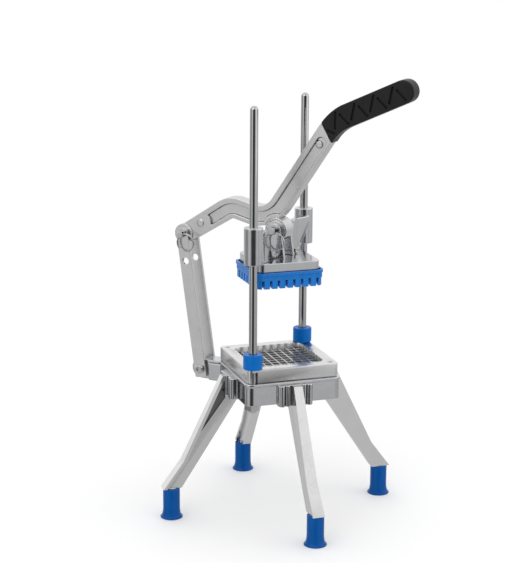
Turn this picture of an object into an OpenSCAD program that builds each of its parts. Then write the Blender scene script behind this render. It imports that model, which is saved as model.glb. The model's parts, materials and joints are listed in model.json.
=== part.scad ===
// Hand lever cutter that presses a potato through a square grid of blades.
// Millimetres. The floor is z = 0 and the cutting axis is the z axis. The base
// is square to x and y. The lever swings in the upright plane that runs from the
// base's left corner (-x, +y) to its right corner (+x, -y).

/* [Base casting] */
// Side of the square skirt
base_w = 122; // [118:1:140]
// Radius of the skirt's upright corners
base_corner_r = 9; // [6:1:14]
// Height of the base's top face above the floor
deck_z = 181; // [150:1:220]
// Height of the skirt, top face to lower edge
skirt_h = 27.5; // [24:0.5:40]
// Wall of the skirt
skirt_wall = 4; // [3:0.5:6]
// Thickness of the top deck
deck_t = 5; // [4:0.5:8]
// Height of the lip round the top
lip_h = 3; // [2:0.5:4]
// How far the lip stands out
lip_out = 1; // [0.5:0.25:2]
// Radius of the bosses inside the corners
corner_boss_r = 9.5; // [8:0.5:11]
// Half width of the fluted pad that holds each leg
pad_half = 22; // [21:0.5:26]
// How far the pad stands out from the skirt
pad_out = 5; // [3:0.25:6]
// How far the pad hangs below the skirt
pad_drop = 2; // [1:0.5:4]
// Radius of the outer flute
flute_outer_r = 3.4; // [2.5:0.1:3.6]
// Distance of the outer flute from the leg's middle
flute_outer_at = 17.6; // [17:0.2:18]
// Radius of the inner flute
flute_inner_r = 2.8; // [2:0.1:3]
// Distance of the inner flute from the leg's middle
flute_inner_at = 10.6; // [10.2:0.2:11]

/* [Legs and feet] */
// Distance of each foot from the cutting axis
foot_reach = 139; // [125:1:160]
// Radius of the boot
foot_r = 10.5; // [10:0.5:13]
// Radius of the boot's flared sole
foot_flare_r = 13.9; // [13:0.1:17]
// Height of the boot
foot_h = 38; // [30:1:45]
// Height of the sole's flare
flare_h = 13; // [8:1:18]
// Radius of the leg's round peg in the boot
peg_r = 7.2; // [6:0.2:8]
// Rubber left under the peg
sole_t = 6; // [4:1:10]
// Depth of the leg's head, from the pad to the leg's outer top edge
leg_head_d = 8; // [7:0.5:12]
// Distance of the leg's outer bend from the axis
leg_bend_out = 125.2; // [115:0.2:130]
// Height of the leg's outer bend above the leg's lower end
leg_bend_up = 34; // [25:1:45]
// How far the toe passes the boot's middle
toe_out = 11.8; // [10.6:0.2:13]
// How far the heel stays inside the boot's middle
heel_in = 12; // [10.6:0.2:14]
// How far the leg's shoulder reaches in under the skirt, from the pad's face
leg_shoulder_back = 14; // [12:0.5:18]
// Thickness of the leg's outer flange, measured level
leg_flange_t = 4.6; // [3.5:0.1:6]
// Width of the flange at the top
leg_flange_top_w = 11; // [9:0.5:12]
// Width of the flange at the toe
leg_flange_toe_w = 15; // [13:0.5:18]
// Thickness of the leg's thin web
leg_web_t = 4.6; // [4:0.2:6]
// Thickness of the leg's inner cheek
leg_cheek_t = 9; // [7:0.5:10]
// Radius of the leg bolts
leg_bolt_r = 2.5; // [2:0.25:2.75]
// Height of the leg bolts' heads
leg_bolt_head_h = 3.5; // [3:0.5:5]
// Hex size of the leg bolts' heads, corner to corner
leg_bolt_hex = 9.2; // [8:0.2:10]
// Distance between the two bolts of a leg
leg_bolt_pitch = 11; // [10:0.5:12]

/* [Guide rods] */
// Radius of the rods
rod_r = 5; // [4:0.25:5.5]
// Rod position, the same in x and y
rod_at = 50; // [49:0.25:51]
// Height of the rods' tops
rod_top_z = 517; // [480:1:560]
// Height of the end nuts
rod_nut_h = 10.5; // [8:0.5:14]
// Hex size of the end nuts, corner to corner
rod_nut_hex = 20.5; // [18:0.5:21]
// Radius of the bumpers
bumper_r = 11.8; // [10:0.1:12]
// Height of the bumpers
bumper_h = 18.4; // [16:0.1:24]
// Edge bevel of the bumpers
bumper_bevel = 0.8; // [0.4:0.1:1.5]

/* [Blade frame] */
// Side of the square frame
frame_w = 117; // [114:1:118]
// Radius of the frame's upright corners
frame_corner_r = 6; // [4:0.5:8]
// Height of the frame
frame_h = 17; // [15:0.5:22]
// Side of the cutting opening
opening_w = 89; // [87:0.5:90]
// Radius of the opening's corners
opening_r = 8; // [5:0.5:9]
// Cuts across the opening, each way
cells = 9; // [7:1:10]
// Thickness of a blade
blade_t = 0.8; // [0.5:0.1:1]
// Height of a blade
blade_h = 11; // [9:0.5:12]
// Depth of the blades' upper edges below the frame's top
blade_drop = 5.5; // [5.4:0.1:6]
// How far a blade's end goes into the frame
blade_end = 2; // [1:0.25:2.5]
// Width of the slot from each rod hole to the frame's side
rod_slot_w = 7.6; // [6:0.2:8]
// Radius of the frame screws' heads
frame_screw_head_r = 3.9; // [3.5:0.1:4.5]
// Radius of the frame screws
frame_screw_r = 2; // [1.75:0.25:2.5]
// Length of the frame screws
frame_screw_l = 36; // [28:1:38]

/* [Link] */
// Distance of the link's lower pivot from the cutting axis
lug_reach = 103; // [101:0.5:106]
// Height of the lower pivot below the deck
lug_drop = 12; // [11:0.5:14]
// Radius of the lug's round end
lug_r = 13; // [11:0.5:14]
// Length of the link, pivot to pivot
link_len = 173.8; // [165:0.2:180]
// Lean of the link away from the rods, in degrees
link_lean = 8.27; // [6:0.01:12]
// Width of a link bar
bar_w = 16; // [14:0.5:17]
// Thickness of a link bar
bar_t = 4; // [3:0.25:5]
// Length of a bar past its lower pivot
bar_tail = 11; // [9:0.5:12]
// Rounding of the bars' lower corners
bar_tail_r = 2.5; // [1.5:0.25:4]
// Distance of the spare hole below the upper pivot
spare_hole_down = 34.4; // [28:0.2:60]
// Radius of the spare hole
spare_hole_r = 4.4; // [3:0.1:5]
// Radius of the lower pivot bolt
link_bolt_r = 4; // [3.5:0.25:4.5]
// Radius of its button head
link_bolt_head_r = 6.2; // [5.5:0.1:7]
// Height of its button head
link_bolt_head_h = 3.6; // [3:0.2:5]
// Hex size of its lock nut, corner to corner
link_nut_hex = 15; // [13:0.5:16]
// Height of its lock nut
link_nut_h = 6.5; // [5:0.5:8]
// Wall of the sleeve in the lug
lug_sleeve_wall = 2; // [1.5:0.25:2.5]

/* [Lever] */
// Height of the hub pivot above the pusher plate's underside
hub_up = 46.4; // [44:0.2:50]
// Thickness of the lever's eye and hub
lever_hub_t = 20.4; // [18:0.2:22]
// Thickness of the lever's arms
arm_t = 18; // [15:0.5:18]
// Upper edge of the arms above their middle line
arm_upper = 11; // [10:0.2:12]
// Lower edge of the short arm below its middle line, by the eye
eye_lower = 12.5; // [11:0.1:13]
// Lower edge of the short arm below its middle line, by the elbow
elbow_lower = 14.6; // [12:0.2:16]
// Lower edge of the long arm below its middle line
long_lower = 12.5; // [11:0.1:13]
// Radius of the eye
eye_r = 12.5; // [11.5:0.25:13]
// Radius of the hub
hub_r = 14.6; // [13:0.2:16]
// Elbow of the short arm, measured back from the hub
elbow_back = 63.8; // [60:0.2:68]
// Elbow of the short arm, height above the hub
elbow_up = 25.2; // [22:0.2:28]
// Neck of the lever, measured back from the hub
neck_back = 10.8; // [9:0.2:13]
// Neck of the lever, height above the hub
neck_up = 11.4; // [10:0.2:13]
// Bend of the handle, measured forward from the hub
bend_fwd = 71.8; // [66:0.2:76]
// Bend of the handle, height above the hub
bend_up = 137; // [132:0.2:142]
// Centre of the handle's round end, forward from the hub
tip_fwd = 160.2; // [152:0.2:170]
// Centre of the handle's round end, height above the hub
tip_up = 177.6; // [172:0.2:186]
// Radius of the elbow along the arm's middle
elbow_bend_r = 26; // [22:1:30]
// Radius of the neck along the arm's middle
neck_bend_r = 34; // [30:1:38]
// Radius of the handle's bend along its middle
handle_bend_r = 62; // [50:1:70]
// Upper edge of the sunk panels above the arms' middle line
panel_upper = 4; // [3:0.2:6]
// Lower edge of the sunk panels below the arms' middle line
panel_lower = 9; // [7:0.2:9.6]
// Depth of the panels
panel_d = 3.4; // [2:0.2:3.6]
// Radius at which the panels stop round the hub
panel_hub_r = 19.6; // [19:0.1:22]
// Distance from the eye's centre to the start of the panel
panel_from_eye = 39; // [34:1:44]
// Radius of the small round pads on the arms
arm_pad_r = 4.2; // [3:0.1:5]
// Groove in the hub's face, inner radius
hub_groove_r = 11.5; // [10.5:0.1:12]
// Groove in the hub's face, width
hub_groove_w = 1.2; // [0.8:0.1:1.4]
// Groove in the hub's face, depth
hub_groove_d = 0.6; // [0.4:0.1:1]
// Wall of the hub's sleeve
hub_sleeve_wall = 2; // [1.5:0.25:2.5]

/* [Grip] */
// Depth of the grip, edge to edge
grip_depth = 28; // [26:0.5:29]
// Thickness of the grip
grip_t = 21; // [20.6:0.2:26]
// Wall of the grip over the flat tang
grip_wall = 5; // [4:0.5:6]
// Upper edge of the grip above its middle line, where it starts
grip_upper_start = 10.5; // [10:0.5:13]
// Start of the grip's middle line past the start of the handle's bend
grip_start = 3.6; // [2:0.2:6]
// Slant of the grip's lower end from square, in degrees
grip_slant = 27; // [15:1:32]
// Width of the zigzag grooves
groove_w = 1.7; // [1.2:0.1:2]
// Depth of the zigzag grooves
groove_d = 1.1; // [0.6:0.1:1.5]
// Distance between the zigzag's repeats
groove_pitch = 26; // [24:0.5:27]

/* [Pusher head] */
// Side of the metal plate
plate_w = 79; // [74:1:80]
// Radius of the plate's upright corners
plate_corner_r = 7; // [5:0.5:9]
// Height of the plate's underside with the head raised
plate_z = 311.6; // [308:0.2:314]
// Thickness of the plate
plate_t = 12.4; // [10:0.2:13]
// Radius of the guide bosses
boss_r = 11.5; // [10.5:0.25:12]
// Height of the guide bosses
boss_h = 44.6; // [40:0.2:52]
// Height of the bosses' undersides above the plate's underside
boss_up = 15.8; // [12:0.2:17]
// Thickness of the fins between the bosses and the plate
fin_t = 6; // [4:0.5:8]
// Height of a fin's shoulder below the top of its boss
fin_shoulder_down = 9; // [9:0.5:16]
// Distance of a fin's shoulder from the cutting axis
fin_shoulder_at = 36; // [33:0.5:40]
// Distance of a fin's foot from the cutting axis
fin_foot_at = 25; // [23:0.5:30]
// Radius of a fin's shoulder
fin_shoulder_r = 4; // [4:0.5:9]
// Radius of a fin's foot
fin_foot_r = 9; // [6:0.5:10]
// Distance from the cutting axis at which a fin starts to widen towards its boss
fin_flare_at = 47; // [44:0.5:52]
// Gap between a pusher screw's washer and the fin
fin_screw_gap = 1.3; // [0.3:0.1:3]
// Thickness of an ear
ear_t = 5; // [4:0.25:6]
// Radius of an ear's round top
ear_r = 9; // [8:0.25:10]
// Half width of an ear at its foot
ear_foot = 15; // [12:0.5:16]
// Wall of the guide sleeves
guide_sleeve_wall = 2; // [1.5:0.25:2.5]

/* [Pusher block] */
// Side of the block
block_w = 86; // [85:0.25:86.5]
// Radius of the block's upright corners
block_corner_r = 8; // [8:0.5:10]
// Height of the block's solid band
band_h = 8; // [7.5:0.1:8]
// Length of the fingers under the band
finger_l = 10.1; // [7:0.1:10.6]
// Radius of the finger field's upright corners
finger_corner_r = 11; // [8:0.5:14]
// Side of a finger
finger_w = 6.7; // [5.5:0.1:7.6]
// Height of the rim round the plate
rim_h = 1.4; // [1:0.1:2]
// Width of the rim round the plate
rim_w = 1.6; // [1:0.1:2]
// How far the rim stands out from the block
rim_out = 1; // [0.5:0.1:1.2]
// How far the wider rim reaches down below the plate
rim_drop = 2; // [1:0.1:2.2]
// Radius of the pusher screws
pusher_screw_r = 3; // [2.5:0.25:3.5]
// Hex size of the pusher screws' heads, corner to corner
pusher_screw_hex = 12; // [10:0.25:12.5]
// Height of the pusher screws' heads
pusher_screw_head_h = 5; // [4:0.5:6]
// Radius of the pusher screws' washers
pusher_washer_r = 6.8; // [6.3:0.1:7]
// Thickness of the pusher screws' washers
pusher_washer_t = 1.6; // [1:0.2:2]

/* [Ring pins] */
// Radius of the pins
pin_r = 4.2; // [4.2:0.1:4.6]
// How far the pins stand out in front
pin_nose = 7; // [6:0.2:9]
// Distance of the ring's hole from the part behind it
ring_out = 3.6; // [3:0.1:4]
// Radius of the ring's hole
ring_hole_r = 2.15; // [2.1:0.05:2.3]
// Radius of the ring along its wire
ring_r = 12; // [11:0.25:12.5]
// Radius of the ring's wire
ring_wire_r = 1.2; // [0.9:0.05:1.2]
// Swing of the link pin's ring from hanging, in degrees
link_ring_swing = 36; // [0:1:45]
// Swing of the hub pin's ring from hanging, in degrees
hub_ring_swing = 20; // [0:1:45]
// Drop of the hub pin's ring hole below the pin's axis
hub_ring_drop = 1.4; // [0:0.1:1.5]
// Radius of the pins' heads at the back
pin_head_r = 6.5; // [6:0.1:7]
// Thickness of the pins' heads
pin_head_t = 2.4; // [2:0.2:4]
// Bevel on a pin's end
pin_bevel = 1; // [0.5:0.1:1.5]

/* [Clearances] */
// Gap between parts that move past each other
run_gap = 0.3; // [0.2:0.05:0.5]
// Radial gap of a pin or rod that runs in its hole
fit_gap = 0.05; // [0.02:0.01:0.1]
// Radial gap of a bolt or sleeve that is held in its hole
seat_gap = 0.02; // [0.01:0.01:0.05]
// Gap round a blade in its notches
blade_gap = 0.15; // [0.1:0.05:0.3]

/* [Hidden] */

// Overrun of a cut past the face that it opens
cut = 1;
// Facets of round shapes, and of the arcs in an outline
round_fn = 64;
arc_steps = 8;

metal = "#c9cbcd";
chrome = "#dfe1e3";
blade_steel = "#b4b8bc";
blue = "#0b62c4";
black = "#1c1c1e";
nylon = "#e2e2dc";

// Heights that several parts share
skirt_z = deck_z - skirt_h;
pad_z = skirt_z - pad_drop;
frame_top_z = deck_z + frame_h;
boss_z = plate_z + boss_up;
boss_top_z = boss_z + boss_h;
plate_top_z = plate_z + plate_t;
block_z = plate_z - band_h;
finger_z = block_z - finger_l;
hub_z = plate_z + hub_up;
leg_end_z = foot_h + run_gap;
blade_top_z = frame_top_z - blade_drop;
blade_z = blade_top_z - blade_h;
cell = opening_w / cells;

// Places across the lever's plane
bar_in = lever_hub_t / 2 + run_gap;
bar_out = bar_in + bar_t;
ear_in = lever_hub_t / 2 + run_gap;
ear_out = ear_in + ear_t;
rod_diag = rod_at * sqrt(2);

// Pivots in the lever's plane: [distance towards the handle, height]
lug_pivot = [-lug_reach, deck_z - lug_drop];
eye_pivot = lug_pivot + link_len * [-sin(link_lean), cos(link_lean)];
hub_pivot = [0, hub_z];
elbow = hub_pivot + [-elbow_back, elbow_up];
neck = hub_pivot + [-neck_back, neck_up];
bend = hub_pivot + [bend_fwd, bend_up];
tip = hub_pivot + [tip_fwd, tip_up];

// Direction of the line from p to q, in degrees
function heading(p, q) = atan2(q[1] - p[1], q[0] - p[0]);
function unit(a) = [cos(a), sin(a)];
function left_of(a) = [-sin(a), cos(a)];

// Stations [point, heading] on an arc of radius r that rounds corner b between a and c
function corner_arc(a, b, c, r) =
    let (h1 = heading(a, b), h2 = heading(b, c),
         turn = h2 - h1, side = turn > 0 ? 1 : -1,
         back = r * tan(abs(turn) / 2),
         centre = b - back * unit(h1) + side * r * left_of(h1))
    [for (i = [0 : arc_steps])
        let (h = h1 + turn * i / arc_steps)
        [centre - side * r * left_of(h), h]];

// Stations along a path of corners, each inner corner rounded to its radius
function stations(p, r) = let (n = len(p) - 1) concat(
    [[p[0], heading(p[0], p[1])]],
    [for (i = [1 : n - 1]) each corner_arc(p[i - 1], p[i], p[i + 1], r[i - 1])],
    [[p[n], heading(p[n - 1], p[n])]]);

// Outline of a band along the stations, its edges at the given distances to the
// left and to the right of each station
function band(s, left, right) = let (n = len(s) - 1) concat(
    [for (i = [0 : n]) s[i][0] + left[i] * left_of(s[i][1])],
    [for (i = [n : -1 : 0]) s[i][0] - right[i] * left_of(s[i][1])]);
function even(s, half) = [for (p = s) half];

// The handle's bend: where its arc starts, how far it turns, and a point at
// distance s past that start and w to the left of the handle's middle
arm_heading = heading(neck, bend);
grip_heading = heading(bend, tip);
bend_turn = grip_heading - arm_heading;
bend_back = handle_bend_r * tan(abs(bend_turn) / 2);
bend_start = bend - bend_back * unit(arm_heading);
bend_centre = bend_start - handle_bend_r * left_of(arm_heading);
bend_arc_l = handle_bend_r * abs(bend_turn) * PI / 180;
function on_handle(s, w) =
    s < 0 ? bend_start + s * unit(arm_heading) + w * left_of(arm_heading)
    : s < bend_arc_l
        ? bend_centre + (handle_bend_r + w) * left_of(arm_heading + bend_turn * s / bend_arc_l)
        : bend_centre + (handle_bend_r + w) * left_of(grip_heading)
            + (s - bend_arc_l) * unit(grip_heading);

arm_path = stations([eye_pivot, elbow, neck, bend, on_handle(bend_arc_l + arm_upper, 0)],
    [elbow_bend_r, neck_bend_r, handle_bend_r]);
// The arm's lower edge: it widens to the elbow and narrows again round the neck
arm_lower = [for (i = [0 : len(arm_path) - 1])
    i == 0 ? eye_lower
    : i <= arc_steps + 1 ? elbow_lower
    : let (k = min(1, (i - arc_steps - 1) / arc_steps)) elbow_lower + k * (long_lower - elbow_lower)];
tang_path = stations([on_handle(-arm_upper / 4, 0), bend, tip], [handle_bend_r]);
grip_path = stations([neck, bend, tip], [handle_bend_r]);
grip_upper = [for (i = [0 : len(grip_path) - 1])
    grip_upper_start + min(1, i / (arc_steps + 1)) * (grip_depth / 2 - grip_upper_start)];
panel_half = (panel_upper + panel_lower) / 2;
panel_mid = (panel_upper - panel_lower) / 2;
panel_start = eye_pivot + panel_from_eye * unit(heading(eye_pivot, elbow));
panel_end = on_handle(-arm_upper, panel_mid);
panel_path = stations([panel_start, elbow, neck, on_handle(-arm_upper, 0)],
    [elbow_bend_r, neck_bend_r]);

// Turns the lever's own plane, x towards the handle, to its place on the square base
module lever_plane() rotate([0, 0, -45]) children();

// Extrudes an outline drawn as [x, z] to thickness t, centred on y = 0
module upright(t) rotate([90, 0, 0]) linear_extrude(t, center = true) children();

// A cylinder along y at [x, z], from y0 to y1
module across(p, r, y0, y1, fn = round_fn)
    translate([p[0], y0, p[1]]) rotate([-90, 0, 0]) cylinder(r = r, h = y1 - y0, $fn = fn);

// A square slab with rounded upright corners
module slab(w, r, z, h) translate([0, 0, z]) linear_extrude(h) rounded_square(w, r);
module rounded_square(w, r) {
    square([w, w - 2 * r], center = true);
    square([w - 2 * r, w], center = true);
    for (x = [-1, 1], y = [-1, 1])
        translate([x * (w / 2 - r), y * (w / 2 - r)]) circle(r, $fn = round_fn);
}

// A bar with its four long edges at [x, y, z] corners a and b
module block(a, b) translate(a) cube(b - a);

// Base casting

leg_slot_half = leg_flange_top_w / 2 + run_gap;
leg_bolt_z = pad_z + (deck_z - lip_h - pad_z) / 2;
leg_face = base_w / 2 + pad_out;

// One fluted pad on the +x face
module leg_pad() {
    inner = base_w / 2 - skirt_wall - pad_out;
    difference() {
        union() {
            block([inner, -pad_half, pad_z], [leg_face, pad_half, deck_z - lip_h]);
            for (s = [-1, 1]) {
                translate([leg_face, s * flute_outer_at, pad_z])
                    cylinder(r = flute_outer_r, h = deck_z - lip_h - pad_z, $fn = round_fn);
                translate([leg_face, s * flute_inner_at, pad_z])
                    cylinder(r = flute_inner_r, h = deck_z - lip_h - pad_z, $fn = round_fn);
            }
        }
        block([leg_face, -leg_slot_half, pad_z - cut],
            [leg_face + 2 * flute_outer_r, leg_slot_half, deck_z]);
    }
}

// Two bolt places of the leg on the +x face
module at_leg_bolts() for (s = [-1, 1])
    translate([0, 0, leg_bolt_z + s * leg_bolt_pitch / 2]) rotate([0, 90, 0]) children();

shoulder_half = bar_out;
shoulder_x = -lug_reach + lug_r - 2 * run_gap;

module lug() lever_plane() {
    z0 = lug_pivot[1] - lug_r;
    z1 = lug_pivot[1] + lug_r;
    corner_x = -(base_w / 2 - base_corner_r) * sqrt(2);
    across(lug_pivot, lug_r, -lever_hub_t / 2, lever_hub_t / 2);
    block([lug_pivot[0], -lever_hub_t / 2, z0], [corner_x, lever_hub_t / 2, min(z1, deck_z)]);
    block([shoulder_x, -shoulder_half, z0], [corner_x, shoulder_half, min(z1, deck_z - lip_h)]);
}

module base_casting() color(metal) difference() {
    union() {
        difference() {
            union() {
                slab(base_w, base_corner_r, skirt_z, skirt_h);
                slab(base_w + 2 * lip_out, base_corner_r + lip_out, deck_z - lip_h, lip_h);
                for (a = [0 : 90 : 270]) rotate(a) leg_pad();
                lug();
            }
            slab(base_w - 2 * skirt_wall, base_corner_r - skirt_wall, pad_z - cut,
                skirt_h + pad_drop - deck_t + cut);
        }
        for (a = [0 : 90 : 270]) rotate(a)
            translate([rod_at, rod_at, skirt_z])
                cylinder(r = corner_boss_r, h = skirt_h, $fn = round_fn);
    }
    slab(opening_w + 2 * blade_end, opening_r, pad_z - cut, skirt_h + pad_drop + 2 * cut);
    for (s = [-1, 1]) {
        translate([s * rod_at, s * rod_at, skirt_z - cut])
            cylinder(r = rod_r + seat_gap, h = skirt_h + 2 * cut, $fn = round_fn);
        translate([-s * rod_at, s * rod_at, frame_top_z - frame_screw_l - cut])
            cylinder(r = frame_screw_r + seat_gap, h = frame_screw_l, $fn = round_fn);
    }
    for (a = [0 : 90 : 270]) rotate(a) at_leg_bolts() translate([0, 0, opening_w / 2])
        cylinder(r = leg_bolt_r + seat_gap, h = leg_face, $fn = round_fn);
    lever_plane() across(lug_pivot, link_bolt_r + fit_gap + lug_sleeve_wall + seat_gap,
        -lever_hub_t, lever_hub_t);
}

// Legs and feet, drawn on +x and turned to their places

toe = [foot_reach + toe_out, leg_end_z];
heel = [foot_reach - heel_in, leg_end_z];
leg_bend = [leg_bend_out, leg_end_z + leg_bend_up];
leg_top = [leg_face + leg_head_d, deck_z - lip_h - run_gap];
leg_head_top = [leg_face, leg_top[1]];
leg_head_foot = [leg_face, pad_z];
leg_shoulder = [leg_face - leg_shoulder_back, pad_z];
level = [leg_flange_t, 0];
// Where the cheek leaves the flange, as a share of the straight flange from the top
cheek_meet_share = 0.85;
cheek_meet = leg_top + cheek_meet_share * (leg_bend - leg_top);
// Where the cheek starts on the leg's head, as a share of its height
cheek_head_share = 0.16;
cheek_head = leg_head_foot + cheek_head_share * (leg_head_top - leg_head_foot);

// The leg's width seen from outside, wider towards the toe
module leg_front_taper() {
    top = leg_flange_top_w / 2;
    low = leg_flange_toe_w / 2;
    rotate([90, 0, 90]) linear_extrude(foot_reach + foot_r + toe_out)
        polygon([[-top, deck_z], [top, deck_z], [low, leg_end_z], [-low, leg_end_z]]);
}

// A plate flush with the flange's edge on the -y side, and t / 2 thick on the other
module leg_plate(t) intersection() {
    flush = leg_flange_toe_w / 2;
    translate([0, (t / 2 - flush) / 2, 0]) upright(flush + t / 2) children();
    leg_front_taper();
}

module leg() color(metal) difference() {
    union() {
        intersection() {
            upright(leg_flange_toe_w) polygon([leg_top, leg_bend, toe,
                toe - level, leg_bend - level, leg_top - level]);
            leg_front_taper();
        }
        leg_plate(leg_web_t) polygon([leg_head_top, leg_top, leg_bend, toe, heel,
            leg_shoulder, leg_head_foot]);
        leg_plate(leg_cheek_t) polygon([leg_head_foot, cheek_head, cheek_meet,
            leg_bend - level, toe - level, heel, leg_shoulder]);
        // Head that fills the slot between the flutes
        upright(leg_flange_top_w) polygon([leg_head_top, leg_top - level / 2,
            leg_head_foot + level, leg_head_foot]);
        translate([foot_reach, 0, sole_t + run_gap])
            cylinder(r = peg_r, h = leg_end_z - sole_t, $fn = round_fn);
    }
    at_leg_bolts() translate([0, 0, leg_face - cut])
        cylinder(r = leg_bolt_r + seat_gap, h = leg_bolt_r * 3 + cut, $fn = round_fn);
}

module foot() color(blue) rotate_extrude($fn = round_fn) {
    flare = foot_flare_r - foot_r;
    // Height of the sole's straight rim, as a share of the flare
    sole_rim_share = 0.12;
    rim = flare_h * sole_rim_share;
    translate([0, 0]) polygon(concat([[0, 0], [foot_flare_r, 0]],
        [for (i = [0 : arc_steps]) let (a = 90 * i / arc_steps)
            [foot_r + flare * (1 - sin(a)), rim + (flare_h - rim) * (1 - cos(a))]],
        [[foot_r, foot_h], [peg_r + run_gap, foot_h], [peg_r + run_gap, sole_t], [0, sole_t]]));
}

module leg_place(i) rotate(i * 90) children();
module foot_place(i) rotate(i * 90) translate([foot_reach, 0, 0]) children();

module leg_bolts() color(chrome) for (a = [0 : 90 : 270]) rotate(a) at_leg_bolts() {
    head = base_w / 2 - skirt_wall - pad_out;
    translate([0, 0, head - leg_bolt_head_h])
        cylinder(d = leg_bolt_hex, h = leg_bolt_head_h, $fn = 6);
    translate([0, 0, head]) cylinder(r = leg_bolt_r, h = leg_face - head + leg_bolt_r * 2,
        $fn = round_fn);
}

// Guide rods, nuts and bumpers

rod_foot_z = skirt_z - rod_nut_h + rod_r / 2;

module at_rod(s) translate([s * rod_at, s * rod_at, 0]) children();

module guide_rod() color(chrome) {
    translate([0, 0, rod_foot_z]) cylinder(r = rod_r, h = rod_top_z - rod_r - rod_foot_z,
        $fn = round_fn);
    translate([0, 0, rod_top_z - rod_r]) sphere(rod_r, $fn = round_fn);
}

module rod_nuts() color(chrome) for (s = [-1, 1]) at_rod(s) difference() {
    // Share of the nut's height that is a hexagon, above its dome
    hex_share = 0.62;
    hex_h = rod_nut_h * hex_share;
    dome_h = rod_nut_h - hex_h;
    flat_r = rod_nut_hex / 2 * cos(30);
    union() {
        translate([0, 0, skirt_z - hex_h]) cylinder(d = rod_nut_hex, h = hex_h, $fn = 6);
        translate([0, 0, skirt_z - rod_nut_h]) cylinder(r1 = flat_r - dome_h, r2 = flat_r,
            h = dome_h, $fn = round_fn);
    }
    translate([0, 0, rod_foot_z - run_gap])
        cylinder(r = rod_r + seat_gap, h = rod_nut_h, $fn = round_fn);
}

module rod_bumper() color(blue) translate([0, 0, frame_top_z]) rotate_extrude($fn = round_fn)
    polygon([[rod_r + fit_gap, 0], [bumper_r - bumper_bevel, 0], [bumper_r, bumper_bevel],
        [bumper_r, bumper_h - bumper_bevel], [bumper_r - bumper_bevel, bumper_h],
        [rod_r + fit_gap, bumper_h]]);

// Blade frame and blades

notch_w = blade_t + 2 * blade_gap;
blade_l = opening_w + 2 * (blade_end - blade_gap);
frame_screw_cone = frame_screw_head_r - frame_screw_r;

// Places of the blades across the opening
blade_lines = [for (i = [1 : cells - 1]) (i - cells / 2) * cell];

module blade_frame() color(metal) difference() {
    slab(frame_w, frame_corner_r, deck_z, frame_h);
    slab(opening_w, opening_r, deck_z - cut, frame_h + 2 * cut);
    for (p = blade_lines) {
        translate([p, 0, frame_top_z - (blade_drop + blade_h + blade_gap) / 2 + cut / 2])
            cube([notch_w, opening_w + 2 * blade_end, blade_drop + blade_h + blade_gap + cut],
                center = true);
        translate([0, p, frame_top_z - (blade_drop + blade_h + blade_gap) / 2 + cut / 2])
            cube([opening_w + 2 * blade_end, notch_w, blade_drop + blade_h + blade_gap + cut],
                center = true);
    }
    for (s = [-1, 1]) {
        at_rod(s) translate([0, 0, deck_z - cut])
            cylinder(r = rod_r + run_gap, h = frame_h + 2 * cut, $fn = round_fn);
        at_rod(s) translate([-rod_slot_w / 2, s > 0 ? 0 : -rod_at, deck_z - cut])
            cube([rod_slot_w, rod_at, frame_h - blade_drop / 2 + cut]);
        translate([-s * rod_at, s * rod_at, 0]) {
            translate([0, 0, deck_z - cut])
                cylinder(r = frame_screw_r + fit_gap, h = frame_h + 2 * cut, $fn = round_fn);
            translate([0, 0, frame_top_z - frame_screw_cone])
                cylinder(r1 = frame_screw_r + fit_gap, r2 = frame_screw_head_r + fit_gap,
                    h = frame_screw_cone, $fn = round_fn);
        }
    }
}

// Blades along x, half cut from one edge where the others cross them
module blade_set(from_top) for (p = blade_lines) difference() {
    translate([-blade_l / 2, p - blade_t / 2, blade_z]) cube([blade_l, blade_t, blade_h]);
    for (q = blade_lines)
        translate([q - notch_w / 2, p - blade_t, from_top ? blade_z + blade_h / 2 - blade_gap / 2
                : blade_z - cut])
            cube([notch_w, 2 * blade_t, blade_h / 2 + blade_gap / 2 + cut]);
}

module blades_lengthwise() color(blade_steel) blade_set(true);
module blades_crosswise() color(blade_steel) rotate(90) blade_set(false);

module frame_screws() color(chrome) for (s = [-1, 1]) translate([-s * rod_at, s * rod_at, 0])
    difference() {
        // Length and width of the cross recess, as shares of the head
        cross_share = 1.2;
        cross_w_share = 0.25;
        union() {
            translate([0, 0, frame_top_z - frame_screw_cone])
                cylinder(r1 = frame_screw_r, r2 = frame_screw_head_r, h = frame_screw_cone,
                    $fn = round_fn);
            translate([0, 0, frame_top_z - frame_screw_l])
                cylinder(r = frame_screw_r, h = frame_screw_l - frame_screw_cone,
                    $fn = round_fn);
        }
        for (a = [0, 90]) rotate(a) translate([0, 0, frame_top_z])
            cube([frame_screw_head_r * cross_share, frame_screw_head_r * cross_w_share,
                frame_screw_cone], center = true);
    }

// Link, drawn in the lever's plane

lug_sleeve_r = link_bolt_r + fit_gap + lug_sleeve_wall;

module lug_sleeve() color(nylon) lever_plane() difference() {
    across(lug_pivot, lug_sleeve_r, -lever_hub_t / 2, lever_hub_t / 2);
    across(lug_pivot, link_bolt_r + fit_gap, -lever_hub_t, lever_hub_t);
}

module link_bolt() color(chrome) lever_plane() difference() {
    head_y = -bar_out - run_gap;
    // The button's dome keeps this share of the head's radius at its top
    dome_share = 0.72;
    // Hex socket: its size and depth as shares of the head
    socket_share = 0.5;
    union() {
        across(lug_pivot, link_bolt_r, head_y, bar_out + run_gap + link_nut_h + run_gap);
        across(lug_pivot, link_bolt_head_r, head_y - link_bolt_head_h / 2, head_y);
        translate([lug_pivot[0], head_y - link_bolt_head_h / 2, lug_pivot[1]]) rotate([90, 0, 0])
            cylinder(r1 = link_bolt_head_r, r2 = link_bolt_head_r * dome_share,
                h = link_bolt_head_h / 2, $fn = round_fn);
    }
    across(lug_pivot, link_bolt_head_r * socket_share, head_y - link_bolt_head_h - cut,
        head_y - link_bolt_head_h * socket_share, 6);
}

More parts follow.
